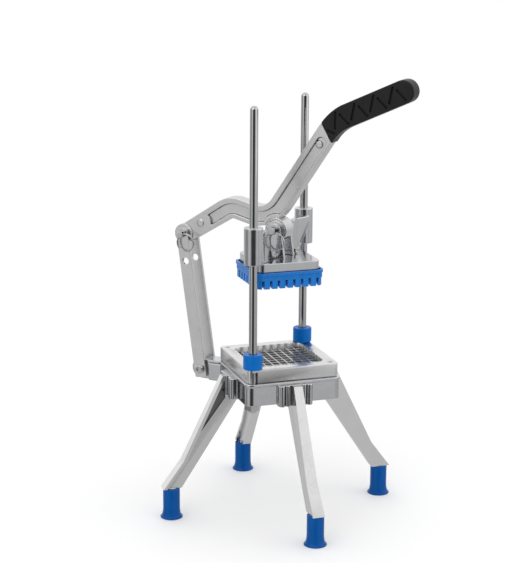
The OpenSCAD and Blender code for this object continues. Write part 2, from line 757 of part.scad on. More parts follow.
module link_nut() color(chrome) lever_plane() difference() {
    nut_y = bar_out + run_gap;
    across(lug_pivot, link_nut_hex / 2, nut_y, nut_y + link_nut_h, 6);
    across(lug_pivot, link_bolt_r + seat_gap, nut_y - cut, nut_y + link_nut_h + cut);
}

// A bar's outline, its lower pivot at [0, 0] and its upper pivot above it
module bar_outline() difference() {
    union() {
        translate([-bar_w / 2, bar_tail_r - bar_tail])
            square([bar_w, link_len + bar_tail - bar_tail_r]);
        translate([bar_tail_r - bar_w / 2, -bar_tail]) square([bar_w - 2 * bar_tail_r, bar_tail]);
        for (s = [-1, 1]) translate([s * (bar_w / 2 - bar_tail_r), bar_tail_r - bar_tail])
            circle(bar_tail_r, $fn = round_fn);
        translate([0, link_len]) circle(bar_w / 2, $fn = round_fn);
    }
    circle(link_bolt_r + fit_gap, $fn = round_fn);
    translate([0, link_len]) circle(pin_r + seat_gap, $fn = round_fn);
    translate([0, link_len - spare_hole_down]) circle(spare_hole_r, $fn = round_fn);
}

module link_bar(side) color(metal) lever_plane()
    translate([lug_pivot[0], side * (bar_in + bar_t / 2), lug_pivot[1]])
        rotate([0, -link_lean, 0]) upright(bar_t) bar_outline();

// A pin's front end, from y0 out to the bevelled tip at y1
module pin_front(y0, y1) {
    across([0, 0], pin_r, y1 + pin_bevel, y0);
    translate([0, y1, 0]) rotate([-90, 0, 0])
        cylinder(r1 = pin_r - pin_bevel, r2 = pin_r, h = pin_bevel, $fn = round_fn);
}

// The hole for a pin's ring, in a pin whose front stands on y = face
module ring_hole(face, swing, drop) translate([0, face - ring_out, -drop])
    rotate([0, 90 - swing, 0]) cylinder(r = ring_hole_r, h = 4 * pin_r, center = true,
        $fn = round_fn);

module pin_ring(face, swing, drop)
    translate([ring_r * sin(swing), face - ring_out, -drop - ring_r * cos(swing)])
        rotate([90, 0, 0]) rotate_extrude($fn = round_fn)
            translate([ring_r, 0]) circle(ring_wire_r, $fn = round_fn);

module at_eye() lever_plane() translate([eye_pivot[0], 0, eye_pivot[1]]) children();
module at_hub() lever_plane() translate([hub_pivot[0], 0, hub_pivot[1]]) children();

// The link's ends of the upper pin: ring in front, head behind
module link_pin() color(chrome) at_eye() difference() {
    union() {
        pin_front(-bar_in, -bar_out - pin_nose);
        across([0, 0], pin_r, bar_in, bar_out);
        across([0, 0], pin_head_r, bar_out, bar_out + pin_head_t);
    }
    ring_hole(-bar_out, link_ring_swing, 0);
}

module link_pin_ring() color(chrome) at_eye() pin_ring(-bar_out, link_ring_swing, 0);

// Lever, grip and what turns in them

hub_sleeve_r = pin_r + fit_gap + hub_sleeve_wall;

// The flat face's panel, cut from one side
module panel_cut(side) translate([0, side * (arm_t / 2 - panel_d / 2 + cut / 2), 0])
    upright(panel_d + cut) difference() {
        union() {
            polygon(band(panel_path, even(panel_path, panel_upper), even(panel_path, panel_lower)));
            translate(panel_end) circle(panel_half, $fn = round_fn);
        }
        translate(hub_pivot) circle(panel_hub_r, $fn = round_fn);
        // The panel's lower end bows inwards
        translate(panel_start - panel_lower * unit(heading(eye_pivot, elbow)))
            circle(panel_lower + panel_upper, $fn = round_fn);
    }

// Small round pads: one between the eye and the panel, one in the panel by the grip
pad_low = eye_pivot + (panel_from_eye - arm_upper) * unit(heading(eye_pivot, elbow));
pad_high = on_handle(-arm_upper - arm_pad_r, panel_mid / 2);
pad_low_h = hub_groove_d;
tang_half = grip_depth / 2 - grip_wall;
tang_t = grip_t - 2 * grip_wall;

// Everything past the slanted line where the grip starts, moved on by the given gap
module past_grip_start(gap) translate([on_handle(grip_start, 0)[0], 0, on_handle(grip_start, 0)[1]])
    rotate([0, grip_slant - arm_heading, 0])
        block([gap, -grip_t, -2 * grip_depth], [bend_up + bend_fwd, grip_t, bend_up]);

module lever() color(metal) lever_plane() difference() {
    union() {
        difference() {
            upright(arm_t) polygon(band(arm_path, even(arm_path, arm_upper), arm_lower));
            for (s = [-1, 1]) panel_cut(s);
            past_grip_start(-run_gap);
        }
        across(eye_pivot, eye_r, -lever_hub_t / 2, lever_hub_t / 2);
        across(hub_pivot, hub_r, -lever_hub_t / 2, lever_hub_t / 2);
        across(pad_low, arm_pad_r, -arm_t / 2 - pad_low_h, arm_t / 2 + pad_low_h);
        across(pad_high, arm_pad_r, panel_d / 2 - arm_t / 2, arm_t / 2 - panel_d / 2);
        upright(tang_t) {
            polygon(band(tang_path, even(tang_path, tang_half), even(tang_path, tang_half)));
            translate(tip) circle(tang_half, $fn = round_fn);
        }
    }
    across(eye_pivot, pin_r + seat_gap, -lever_hub_t, lever_hub_t);
    across(hub_pivot, hub_sleeve_r + seat_gap, -lever_hub_t, lever_hub_t);
    for (s = [-1, 1]) difference() {
        across(hub_pivot, hub_groove_r + hub_groove_w,
            s > 0 ? lever_hub_t / 2 - hub_groove_d : -lever_hub_t / 2 - cut,
            s > 0 ? lever_hub_t / 2 + cut : -lever_hub_t / 2 + hub_groove_d);
        across(hub_pivot, hub_groove_r, -lever_hub_t, lever_hub_t);
    }
}

// Zigzag grooves: [start along, start across, end along, end across], in shares
// of the repeat and of the grip's half depth
groove_shares = [[0, 0.72, -0.47, -0.5], [0.11, 0.4, 0.36, -0.74]];
groove_repeats = 4;
groove_first_share = 0.06;

// A groove between two points of the handle, in the face on the given side
module groove(a, b, side) {
    mid = (a + b) / 2;
    translate([mid[0], side * (grip_t / 2), mid[1]]) rotate([0, -heading(a, b), 0])
        cube([norm(b - a), 2 * groove_d, groove_w], center = true);
}

module grip() color(black) lever_plane() difference() {
    intersection() {
        union() {
            upright(grip_t) polygon(band(grip_path, grip_upper, even(grip_path, grip_depth / 2)));
            across(tip, grip_depth / 2, -grip_t / 2, grip_t / 2);
        }
        past_grip_start(0);
    }
    upright(tang_t + 2 * run_gap) {
        polygon(band(tang_path, even(tang_path, tang_half + run_gap),
            even(tang_path, tang_half + run_gap)));
        translate(tip) circle(tang_half + run_gap, $fn = round_fn);
    }
    for (k = [0 : groove_repeats], g = groove_shares, side = [-1, 1])
        groove(on_handle((k + groove_first_share + g[0]) * groove_pitch, g[1] * grip_depth / 2),
            on_handle((k + groove_first_share + g[2]) * groove_pitch, g[3] * grip_depth / 2), side);
}

module eye_pin() color(chrome) lever_plane()
    across(eye_pivot, pin_r, -lever_hub_t / 2, lever_hub_t / 2);

module hub_sleeve() color(nylon) lever_plane() difference() {
    across(hub_pivot, hub_sleeve_r, -lever_hub_t / 2, lever_hub_t / 2);
    across(hub_pivot, pin_r + fit_gap, -lever_hub_t, lever_hub_t);
}

// Pusher head

guide_sleeve_r = rod_r + fit_gap + guide_sleeve_wall;
fin_top_z = boss_top_z - fin_shoulder_down;
fin_foot_z = plate_top_z + rim_w;
// The fin's root is in the plate, and its underside rises to the boss clear of the bumper
fin_root_z = plate_z + plate_t / 2;
fin_root_at = (plate_w / 2 - plate_corner_r) * sqrt(2);
fin_rise_at = rod_diag - bumper_r - run_gap;
screw_u = fin_t / 2 + pusher_washer_r + fin_screw_gap;
screw_v = ear_out + pusher_washer_r + run_gap;

// One fin from the boss on the -v side, seen from its side, from its edge and from above
fin_side = stations([[-rod_diag, fin_top_z], [-fin_shoulder_at, fin_top_z],
    [-fin_foot_at, fin_foot_z], [-ear_in, fin_foot_z]], [fin_shoulder_r, fin_foot_r]);
fin_edge = stations([[boss_r, boss_top_z], [boss_r - fin_t / 4, fin_top_z - boss_h / 8],
    [fin_t / 2, boss_top_z - boss_h], [fin_t / 2, fin_root_z]],
    [boss_r, 3 * boss_r]);
fin_plan = [[fin_t / 2, -ear_in], [fin_t / 2, -fin_flare_at], [boss_r - fin_t / 4, boss_r / 2 - rod_diag],
    [boss_r - fin_t / 4, -rod_diag]];
module fin() intersection() {
    translate([0, 0, plate_z]) linear_extrude(boss_top_z - plate_z) polygon(concat(fin_plan,
        [for (i = [len(fin_plan) - 1 : -1 : 0]) [-fin_plan[i][0], fin_plan[i][1]]]));
    rotate([90, 0, 90]) linear_extrude(2 * boss_r, center = true)
        polygon(concat([for (p = fin_side) p[0]], [[-ear_in, fin_root_z],
            [-fin_root_at, fin_root_z], [-fin_rise_at, boss_z], [-rod_diag, boss_z]]));
    rotate([90, 0, 0]) linear_extrude(rod_diag)
        polygon(concat([for (p = fin_edge) p[0]],
            [for (i = [len(fin_edge) - 1 : -1 : 0]) [-fin_edge[i][0][0], fin_edge[i][0][1]]]));
}

module ear(side) translate([0, side * (ear_in + ear_t / 2), 0]) upright(ear_t) {
    polygon([[-ear_foot, plate_z + plate_t / 2], [ear_foot, plate_z + plate_t / 2],
        [ear_r, hub_z], [-ear_r, hub_z]]);
    translate(hub_pivot) circle(ear_r, $fn = round_fn);
}

module at_pusher_screws() lever_plane() for (s = [-1, 1])
    translate([s * screw_u, s * screw_v, 0]) children();

module pusher_head() color(metal) difference() {
    union() {
        slab(plate_w, plate_corner_r, plate_z, plate_t);
        for (s = [-1, 1]) at_rod(s) translate([0, 0, boss_z])
            cylinder(r = boss_r, h = boss_h, $fn = round_fn);
        lever_plane() for (s = [-1, 1]) {
            rotate(s > 0 ? 180 : 0) fin();
            ear(s);
        }
    }
    for (s = [-1, 1]) at_rod(s) translate([0, 0, boss_z - cut])
        cylinder(r = guide_sleeve_r + seat_gap, h = boss_h + 2 * cut, $fn = round_fn);
    lever_plane() across(hub_pivot, pin_r + seat_gap, -ear_out - cut, ear_out + cut);
    at_pusher_screws() translate([0, 0, plate_z - cut])
        cylinder(r = pusher_screw_r + fit_gap, h = plate_t + 2 * cut, $fn = round_fn);
}

module guide_sleeve() color(nylon) translate([0, 0, boss_z]) difference() {
    cylinder(r = guide_sleeve_r, h = boss_h, $fn = round_fn);
    translate([0, 0, -cut]) cylinder(r = rod_r + fit_gap, h = boss_h + 2 * cut, $fn = round_fn);
}

// How far the pusher screws go into the block, as a share of its band
screw_depth_share = 0.7;

module pusher_block() color(blue) difference() {
    union() {
        slab(block_w, block_corner_r, block_z, band_h);
        intersection() {
            slab(block_w, finger_corner_r, finger_z, finger_l + cut);
            for (x = [0 : cells - 1], y = [0 : cells - 1])
                translate([(x - (cells - 1) / 2) * cell - finger_w / 2,
                        (y - (cells - 1) / 2) * cell - finger_w / 2, finger_z])
                    cube([finger_w, finger_w, finger_l + cut]);
        }
        difference() {
            slab(block_w + 2 * rim_out, block_corner_r + rim_out, plate_z - rim_drop,
                rim_h + rim_drop);
            slab(block_w - 2 * rim_w, block_corner_r - rim_w, plate_z, rim_h + cut);
        }
    }
    at_pusher_screws() translate([0, 0, plate_z - band_h * screw_depth_share - run_gap])
        cylinder(r = pusher_screw_r + seat_gap, h = band_h, $fn = round_fn);
}

module pusher_screws() color(chrome) at_pusher_screws() {
    seat = plate_top_z + pusher_washer_t;
    translate([0, 0, seat]) cylinder(d = pusher_screw_hex, h = pusher_screw_head_h, $fn = 6);
    translate([0, 0, plate_z - band_h * screw_depth_share])
        cylinder(r = pusher_screw_r, h = seat - plate_z + band_h * screw_depth_share,
            $fn = round_fn);
}

module pusher_washers() color(chrome) at_pusher_screws() translate([0, 0, plate_top_z])
    difference() {
        cylinder(r = pusher_washer_r, h = pusher_washer_t, $fn = round_fn);
        translate([0, 0, -cut]) cylinder(r = pusher_screw_r + fit_gap,
            h = pusher_washer_t + 2 * cut, $fn = round_fn);
    }

module hub_pin() color(chrome) at_hub() difference() {
    union() {
        pin_front(ear_out, -ear_out - pin_nose);
        across([0, 0], pin_head_r, ear_out, ear_out + pin_head_t);
    }
    ring_hole(-ear_out, hub_ring_swing, hub_ring_drop);
}

module hub_pin_ring() color(chrome) at_hub() pin_ring(-ear_out, hub_ring_swing, hub_ring_drop);

base_casting();
leg_place(0) leg();  // leg_right
leg_place(1) leg();  // leg_back
leg_place(2) leg();  // leg_left
leg_place(3) leg();  // leg_front
foot_place(0) foot();  // foot_right
foot_place(1) foot();  // foot_back
foot_place(2) foot();  // foot_left
foot_place(3) foot();  // foot_front
leg_bolts();
at_rod(-1) guide_rod();  // guide_rod_front
at_rod(1) guide_rod();  // guide_rod_back
rod_nuts();
at_rod(-1) rod_bumper();  // rod_bumper_front
at_rod(1) rod_bumper();  // rod_bumper_back
blade_frame();
blades_lengthwise();
blades_crosswise();
frame_screws();
lug_sleeve();
link_bolt();
link_nut();
link_bar(-1);  // link_bar_front
link_bar(1);  // link_bar_rear
link_pin();
link_pin_ring();
lever();
grip();
eye_pin();
hub_sleeve();
pusher_head();
at_rod(-1) guide_sleeve();  // guide_sleeve_front
at_rod(1) guide_sleeve();  // guide_sleeve_back
pusher_block();
pusher_screws();
pusher_washers();
hub_pin();
hub_pin_ring();
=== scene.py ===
"""The looks of a french fry cutter: rounded castings, grip, rings, finishes and a plain studio."""

import json
import logging
import math
from collections.abc import Callable, Sequence
from dataclasses import dataclass, field
from enum import Enum

import bmesh
import bpy
from mathutils import Matrix, Vector

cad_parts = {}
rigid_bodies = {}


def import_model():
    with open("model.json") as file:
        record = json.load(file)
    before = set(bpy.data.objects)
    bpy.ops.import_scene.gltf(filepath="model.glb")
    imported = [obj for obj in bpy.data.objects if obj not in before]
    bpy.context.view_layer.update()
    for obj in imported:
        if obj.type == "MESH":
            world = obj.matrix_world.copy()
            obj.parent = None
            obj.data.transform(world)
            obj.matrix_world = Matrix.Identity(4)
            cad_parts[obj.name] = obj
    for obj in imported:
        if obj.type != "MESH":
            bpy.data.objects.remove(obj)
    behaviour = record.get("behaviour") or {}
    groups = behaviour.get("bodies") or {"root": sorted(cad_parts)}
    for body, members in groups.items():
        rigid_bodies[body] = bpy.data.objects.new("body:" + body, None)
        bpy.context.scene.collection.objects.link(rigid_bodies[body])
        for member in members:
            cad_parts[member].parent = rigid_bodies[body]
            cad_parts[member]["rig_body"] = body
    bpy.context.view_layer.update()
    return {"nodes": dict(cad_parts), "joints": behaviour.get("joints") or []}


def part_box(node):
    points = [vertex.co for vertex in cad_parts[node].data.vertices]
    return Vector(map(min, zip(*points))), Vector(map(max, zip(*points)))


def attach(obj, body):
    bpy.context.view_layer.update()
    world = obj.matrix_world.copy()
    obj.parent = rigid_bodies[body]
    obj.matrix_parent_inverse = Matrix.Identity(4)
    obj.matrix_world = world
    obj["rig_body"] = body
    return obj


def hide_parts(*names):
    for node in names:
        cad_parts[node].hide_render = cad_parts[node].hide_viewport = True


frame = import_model()

log = logging.getLogger("fry_cutter")

MM = 0.001
NODES = frame["nodes"]
JOINTS = {joint["name"]: joint for joint in frame["joints"]}

# Turns the lever's own plane, x towards the grip and y to the back, onto the square base
LEVER_TURN = math.radians(-45)
# Vertices closer than this are one
MERGE = 0.01 * MM
# Edges that bend less than this only part the triangles of a flat face
FLAT = math.radians(0.5)
# Noise wavers about this
NOISE_MEAN = 0.5
# Noise at which a finish's tone is darkest and lightest
TONE_RANGE = (0.3, 0.7)
# Pointiness where rubbed edges and the painted shade of inner corners start, and where they are full
METAL_EDGE = (0.515, 0.56)
METAL_CREASE = (0.49, 0.46)
MOULDED_EDGE = (0.51, 0.58)
MOULDED_CREASE = (0.49, 0.45)
# A Mix node's colour sockets: the colours at 0 and at 1, and the result
MIX_LOW, MIX_HIGH, MIX_RESULT = 6, 7, 2

Colour = tuple[float, float, float]
Point = tuple[float, float, float]


class Slot(Enum):
    """The record's material slots."""

    CAST = "cast_aluminium"
    BAR = "bar_aluminium"
    STEEL = "polished_steel"
    BLADE = "blade_steel"
    BEARING = "bearing_plastic"
    BLUE_RUBBER = "blue_rubber"
    BLUE_PLASTIC = "blue_plastic"
    GRIP = "grip_rubber"


class Term:
    """A number in a material, whose arithmetic adds Math nodes to it."""

    def __init__(self, shader: "Shader", socket: bpy.types.NodeSocket) -> None:
        """Wrap a socket.

        Args:
            shader: The shader that the socket belongs to.
            socket: The output socket.
        """
        self.shader = shader
        self.socket = socket

    def _math(self, operation: str, first: "Term | float", second: "Term | float") -> "Term":
        """Add one Math node.

        Args:
            operation: Blender's name of the operation.
            first: The first operand.
            second: The second operand.

        Returns:
            The node's result.
        """
        node = self.shader.node("ShaderNodeMath", {"operation": operation}, {0: first, 1: second})
        return Term(self.shader, node.outputs[0])

    def __add__(self, other: "Term | float") -> "Term":
        """Return self + other."""
        return self._math("ADD", self, other)

    __radd__ = __add__

    def __sub__(self, other: "Term | float") -> "Term":
        """Return self - other."""
        return self._math("SUBTRACT", self, other)

    def __rsub__(self, other: "Term | float") -> "Term":
        """Return other - self."""
        return self._math("SUBTRACT", other, self)

    def __mul__(self, other: "Term | float") -> "Term":
        """Return self * other."""
        return self._math("MULTIPLY", self, other)

    __rmul__ = __mul__

    def highest(self, other: "Term | float") -> "Term":
        """Return the higher of self and other."""
        return self._math("MAXIMUM", self, other)


class Shader:
    """A material or a world, and the nodes that are added to it."""

    def __init__(self, owner: bpy.types.ID) -> None:
        """Start the node tree.

        Args:
            owner: The material or world, with its default nodes.
        """
        owner.use_nodes = True
        self.owner = owner
        self.tree = owner.node_tree

    def node(self, kind: str, settings: dict[str, object] | None = None,
             inputs: dict[int | str, object] | None = None) -> bpy.types.Node:
        """Add one node.

        Args:
            kind: The node's type.
            settings: Its settings.
            inputs: Values or links of its input sockets.

        Returns:
            The new node.
        """
        node = self.tree.nodes.new(kind)
        for key, value in (settings or {}).items():
            setattr(node, key, value)
        for key, value in (inputs or {}).items():
            self.feed(node.inputs[key], value)
        return node

    def feed(self, socket: bpy.types.NodeSocket, value: object) -> None:
        """Link or set an input socket.

        Args:
            socket: The input.
            value: A Term, an output socket, or a plain value.
        """
        if isinstance(value, Term):
            self.tree.links.new(value.socket, socket)
        elif isinstance(value, bpy.types.NodeSocket):
            self.tree.links.new(value, socket)
        else:
            socket.default_value = value

    def place(self, stretch: Point = (1, 1, 1), turn: Point = (0, 0, 0)) -> bpy.types.NodeSocket:
        """Give the point of the surface, in the row frame.

        Args:
            stretch: Scale along each axis, after the turn.
            turn: Euler angles that turn the pattern, in radians.

        Returns:
            The point as a vector socket.
        """
        point = self.node("ShaderNodeTexCoord").outputs["Object"]
        turned = self.node("ShaderNodeMapping", {"vector_type": "TEXTURE"},
                           {"Vector": point, "Rotation": turn})
        stretched = self.node("ShaderNodeMapping", None, {"Vector": turned.outputs[0], "Scale": stretch})
        return stretched.outputs[0]

    def noise(self, place: bpy.types.NodeSocket, size: float, detail: float) -> Term:
        """Make soft noise from 0 to 1.

        Args:
            place: The point of the surface.
            size: Size of the noise's spots, in metres.
            detail: Finer layers added.

        Returns:
            The noise.
        """
        node = self.node("ShaderNodeTexNoise", None, {"Vector": place, "Scale": 1 / size, "Detail": detail})
        return Term(self, node.outputs["Fac"])

    def ramp(self, term: Term, low: float, high: float) -> Term:
        """Stretch a number so that low becomes 0 and high becomes 1, smoothly.

        Args:
            term: The number.
            low: The value that becomes 0.
            high: The value that becomes 1.

        Returns:
            The stretched number.
        """
        node = self.node("ShaderNodeMapRange", {"interpolation_type": "SMOOTHSTEP"},
                         {"Value": term, "From Min": low, "From Max": high})
        return Term(self, node.outputs[0])

    def mix(self, share: Term | float, low: object, high: object) -> bpy.types.NodeSocket:
        """Mix two colours.

        Args:
            share: How much of the high colour there is.
            low: The colour at 0.
            high: The colour at 1.

        Returns:
            The mixed colour.
        """
        node = self.node("ShaderNodeMix", {"data_type": "RGBA"})
        self.feed(node.inputs["Factor"], share)
        self.feed(node.inputs[MIX_LOW], (*low, 1) if isinstance(low, tuple) else low)
        self.feed(node.inputs[MIX_HIGH], (*high, 1) if isinstance(high, tuple) else high)
        return node.outputs[MIX_RESULT]

    def bump(self, height: Term, depth: float, strength: float) -> bpy.types.NodeSocket:
        """Turn a height from 0 to 1 into a normal.

        Args:
            height: The height.
            depth: Depth of the relief, in metres.
            strength: How strong it is.

        Returns:
            The normal.
        """
        node = self.node("ShaderNodeBump", None, {"Height": height, "Distance": depth, "Strength": strength})
        return node.outputs[0]

    def paint(self, **sockets: object) -> None:
        """Set the Principled shader's sockets, with _ for a space in a socket's name.

        Args:
            sockets: Values or links by socket name.
        """
        principled = self.tree.nodes["Principled BSDF"]
        for key, value in sockets.items():
            self.feed(principled.inputs[key.replace("_", " ")], value)


def shade(colour: Colour, amount: float) -> Colour:
    """Return the colour made lighter or darker by a share of itself."""
    return tuple(min(1.0, channel * (1 + amount)) for channel in colour)


@dataclass(frozen=True)
class MetalFinish:
    """A metal surface with a fine grain, brush lines and cloudy patches.

    Attributes:
        name: The material's name.
        colour: Its reflected colour.
        roughness: Its mean roughness.
        uneven: How much the roughness changes.
        grain: Size of the grain across the brush lines, in metres.
        streak: Length of the brush lines over their width.
        relief: Depth of the grain, in metres.
        turn: Euler angles of the brush lines, which run along x.
        edge_shine: How much lighter the rubbed edges are.
        crease_tone: How much painted shade darkens the inner corners.
    """

    name: str
    colour: Colour
    roughness: float
    uneven: float = 0.08
    grain: float = 0.5 * MM
    streak: float = 1.0
    relief: float = 0.02 * MM
    turn: Point = (0, 0, 0)
    edge_shine: float = 0.0
    crease_tone: float = 0.0

    def make(self) -> bpy.types.Material:
        """Build the material.

        Returns:
            The material.
        """
        shader = Shader(bpy.data.materials.new(self.name))
        patch_size, scuff_size, scuff_turn = 18 * MM, 3 * MM, (0.4, 0.7, 0.2)
        cloud_share, line_share = 0.55, 0.45
        # The last of these is the near-black colour of the inner corners' painted shade
        dark, light, rubbed, painted_shade = (shade(self.colour, share) for share in (-0.07, 0.05, 0.3, -0.9))
        fine = shader.place((1 / self.streak, 1, 1), self.turn)
        lines = shader.noise(fine, self.grain, 3)
        clouds = shader.noise(shader.place(), patch_size, 4)
        scuffs = shader.noise(shader.place((1, 1, 1 / 6), scuff_turn), scuff_size, 5)
        tone = shader.ramp(clouds * cloud_share + lines * line_share, *TONE_RANGE)
        colour = shader.mix(tone, dark, light)
        rough = self.roughness + (clouds - NOISE_MEAN) * self.uneven + (lines - NOISE_MEAN) * self.uneven
        if self.edge_shine:
            ragged = 0.03
            bend = Term(shader, shader.node("ShaderNodeNewGeometry").outputs["Pointiness"])
            edge = shader.ramp(bend + (scuffs - NOISE_MEAN) * ragged, *METAL_EDGE)
            colour = shader.mix(edge * self.edge_shine, colour, rubbed)
            rough = rough - edge * (self.roughness * 0.4)
            # Painted shade: inner corners are darkened towards a near-black copy of the colour
            crease = shader.ramp(bend, *METAL_CREASE)
            colour = shader.mix(crease * self.crease_tone, colour, painted_shade)
        scratch = shader.ramp(scuffs, 0.6, 0.75)
        rough = rough + scratch * (self.uneven * 0.5)
        shader.paint(Base_Color=colour, Metallic=1.0, Roughness=rough,
                     Normal=shader.bump(lines, self.relief, 0.5))
        return shader.owner


@dataclass(frozen=True)
class MouldedFinish:
    """Moulded rubber or plastic.

    Attributes:
        name: The material's name.
        colour: Its colour.
        roughness: Its mean roughness.
        grain: Size of the surface's grain, in metres.
        relief: Depth of the grain, in metres.
        mirror: Specular level; 0.5 is plain plastic.
        rim: How much lighter the rims are.
    """

    name: str
    colour: Colour
    roughness: float
    grain: float = 0.4 * MM
    relief: float = 0.015 * MM
    mirror: float = 0.3
    rim: float = 0.35

    def make(self) -> bpy.types.Material:
        """Build the material.

        Returns:
            The material.
        """
        shader = Shader(bpy.data.materials.new(self.name))
        flow_size = 9 * MM
        grain = shader.noise(shader.place(), self.grain, 3)
        flow = shader.noise(shader.place((1, 1, 0.5)), flow_size, 3)
        flow_share, grain_share = 0.7, 0.3
        # The last of these is the near-black colour of the inner corners' painted shade
        dark, light, worn, painted_shade = (shade(self.colour, share) for share in (-0.1, 0.06, 0.45, -0.85))
        tone = shader.ramp(flow * flow_share + grain * grain_share, *TONE_RANGE)
        bend = Term(shader, shader.node("ShaderNodeNewGeometry").outputs["Pointiness"])
        edge = shader.ramp(bend, *MOULDED_EDGE)
        colour = shader.mix(tone, dark, light)
        colour = shader.mix(edge * self.rim, colour, worn)
        # Painted shade: inner corners are darkened towards a near-black copy of the colour, at full strength
        crease = shader.ramp(bend, *MOULDED_CREASE)
        colour = shader.mix(crease, colour, painted_shade)
        rough = self.roughness + (flow - NOISE_MEAN) * 0.14 + (grain - NOISE_MEAN) * 0.05
        shader.paint(Base_Color=colour, Roughness=rough,
                     Specular_IOR_Level=self.mirror, Normal=shader.bump(grain, self.relief, 0.4))
        return shader.owner


@dataclass(frozen=True)
class BladeFinish:
    """Ground blade steel: dull on the flats, bright along the cutting edge.

    Attributes:
        name: The material's name.
        edge_z: Height of the cutting edges, in metres.
        edge_h: Height of the bright band below them, in metres.
        colour: The steel's colour.
    """

    name: str
    edge_z: float
    edge_h: float = 2.2 * MM
    colour: Colour = (0.85, 0.85, 0.85)

    def make(self) -> bpy.types.Material:
        """Build the material.

        Returns:
            The material.
        """
        shader = Shader(bpy.data.materials.new(self.name))
        place = shader.place()
        height = Term(shader, shader.node("ShaderNodeSeparateXYZ", None, {0: place}).outputs["Z"])
        ground = shader.ramp(height, self.edge_z - self.edge_h, self.edge_z - self.edge_h * 0.6)
        lines = shader.noise(shader.place((1, 1, 0.05)), 0.25 * MM, 2)
        clouds = shader.noise(place, 12 * MM, 3)
        colour = shader.mix(ground, shade(self.colour, -0.18), shade(self.colour, 0.25))
        flat_rough, edge_gain, uneven = 0.26, 0.1, 0.12
        rough = (flat_rough - ground * edge_gain + (clouds - NOISE_MEAN) * uneven
                 + (lines - NOISE_MEAN) * uneven)
        shader.paint(Base_Color=colour, Metallic=1.0, Roughness=rough,
                     Normal=shader.bump(lines, 0.01 * MM, 0.4))
        return shader.owner


def select_only(piece: bpy.types.Object) -> None:
    """Deselect everything, then select one object and make it active."""
    bpy.ops.object.select_all(action="DESELECT")
    piece.select_set(True)
    bpy.context.view_layer.objects.active = piece


def apply_modifier(piece: bpy.types.Object, kind: str, **settings: object) -> None:
    """Add a modifier and apply it.

    Args:
        piece: The object.
        kind: The modifier's type.
        settings: Its settings.
    """
    select_only(piece)
    modifier = piece.modifiers.new(kind.title(), kind)
    for key, value in settings.items():
        setattr(modifier, key, value)
    bpy.ops.object.modifier_apply(modifier=modifier.name)


def smooth(piece: bpy.types.Object, angle: float) -> None:
    """Shade a piece smooth, but for edges sharper than the angle in degrees."""
    select_only(piece)
    bpy.ops.object.shade_smooth_by_angle(angle=math.radians(angle))


def settle(piece: bpy.types.Object) -> None:
    """Move an object's place, turn and size into its mesh."""
    select_only(piece)
    bpy.ops.object.transform_apply(location=True, rotation=True, scale=True)


def turn_to_base(piece: bpy.types.Object) -> None:
    """Turn a piece that was made in the lever's plane to its place on the base."""
    piece.matrix_world = Matrix.Rotation(LEVER_TURN, 4, "Z") @ piece.matrix_world
    settle(piece)


def mend_normals(piece: bpy.types.Object) -> None:
    """Merge doubles and point all faces outwards."""
    select_only(piece)
    bpy.ops.object.mode_set(mode="EDIT")
    bpy.ops.mesh.select_all(action="SELECT")
    bpy.ops.mesh.remove_doubles(threshold=MERGE)
    bpy.ops.mesh.normals_make_consistent(inside=False)
    bpy.ops.object.mode_set(mode="OBJECT")


def copy_of(node: str, name: str) -> bpy.types.Object:
    """Copy a CAD node's mesh into a new object and merge its loose triangles.

    Args:
        node: The CAD node.
        name: The new object's name.

    Returns:
        The copy.
    """
    mesh = NODES[node].data.copy()
    mesh.materials.clear()
    piece = bpy.data.objects.new(name, mesh)
    bpy.context.scene.collection.objects.link(piece)
    select_only(piece)
    if mesh.has_custom_normals:
        bpy.ops.mesh.customdata_custom_splitnormals_clear()
    bpy.ops.object.mode_set(mode="EDIT")
    bpy.ops.mesh.select_all(action="SELECT")
    bpy.ops.mesh.remove_doubles(threshold=MERGE)
    bpy.ops.object.mode_set(mode="OBJECT")
    return piece


def edit_selected(piece: bpy.types.Object, wanted: Callable[[bmesh.types.BMEdge], bool]) -> int:
    """Enter edit mode with only the wanted edges selected.

    Args:
        piece: The object.
        wanted: Tells whether an edge is wanted.

    Returns:
        How many edges are selected.
    """
    select_only(piece)
    bpy.ops.object.mode_set(mode="EDIT")
    bpy.ops.mesh.select_mode(type="EDGE")
    bpy.ops.mesh.select_all(action="DESELECT")
    mesh = bmesh.from_edit_mesh(piece.data)
    count = 0
    for edge in mesh.edges:
        if wanted(edge):
            edge.select_set(True)
            count += 1
    bmesh.update_edit_mesh(piece.data)
    return count


def round_edges(piece: bpy.types.Object, wanted: Callable[[bmesh.types.BMEdge], bool], width: float,
                segments: int) -> None:
    """Round the wanted edges.

    Args:
        piece: The object.
        wanted: Tells whether an edge is rounded.
        width: How far the rounding reaches from the edge, in metres.
        segments: Faces across the rounding.
    """
    if edit_selected(piece, wanted):
        bpy.ops.mesh.bevel(offset=width, segments=segments, affect="EDGES", clamp_overlap=True)
    bpy.ops.object.mode_set(mode="OBJECT")


def dress(piece: bpy.types.Object, material: bpy.types.Material, body: str,
          nodes: Sequence[str]) -> None:
    """Give a new piece its finish and its body, and hide the CAD nodes that it stands for.

    Args:
        piece: The object.
        material: Its material.
        body: The body that it rides on.
        nodes: The CAD nodes that it stands for.
    """
    piece.data.materials.clear()
    piece.data.materials.append(material)
    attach(piece, body)
    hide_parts(*nodes)
    log.info("%s: %d faces on %s", piece.name, len(piece.data.polygons), body)


def body_of(node: str) -> str:
    """Return the body that a CAD node rides on."""
    return NODES[node]["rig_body"]


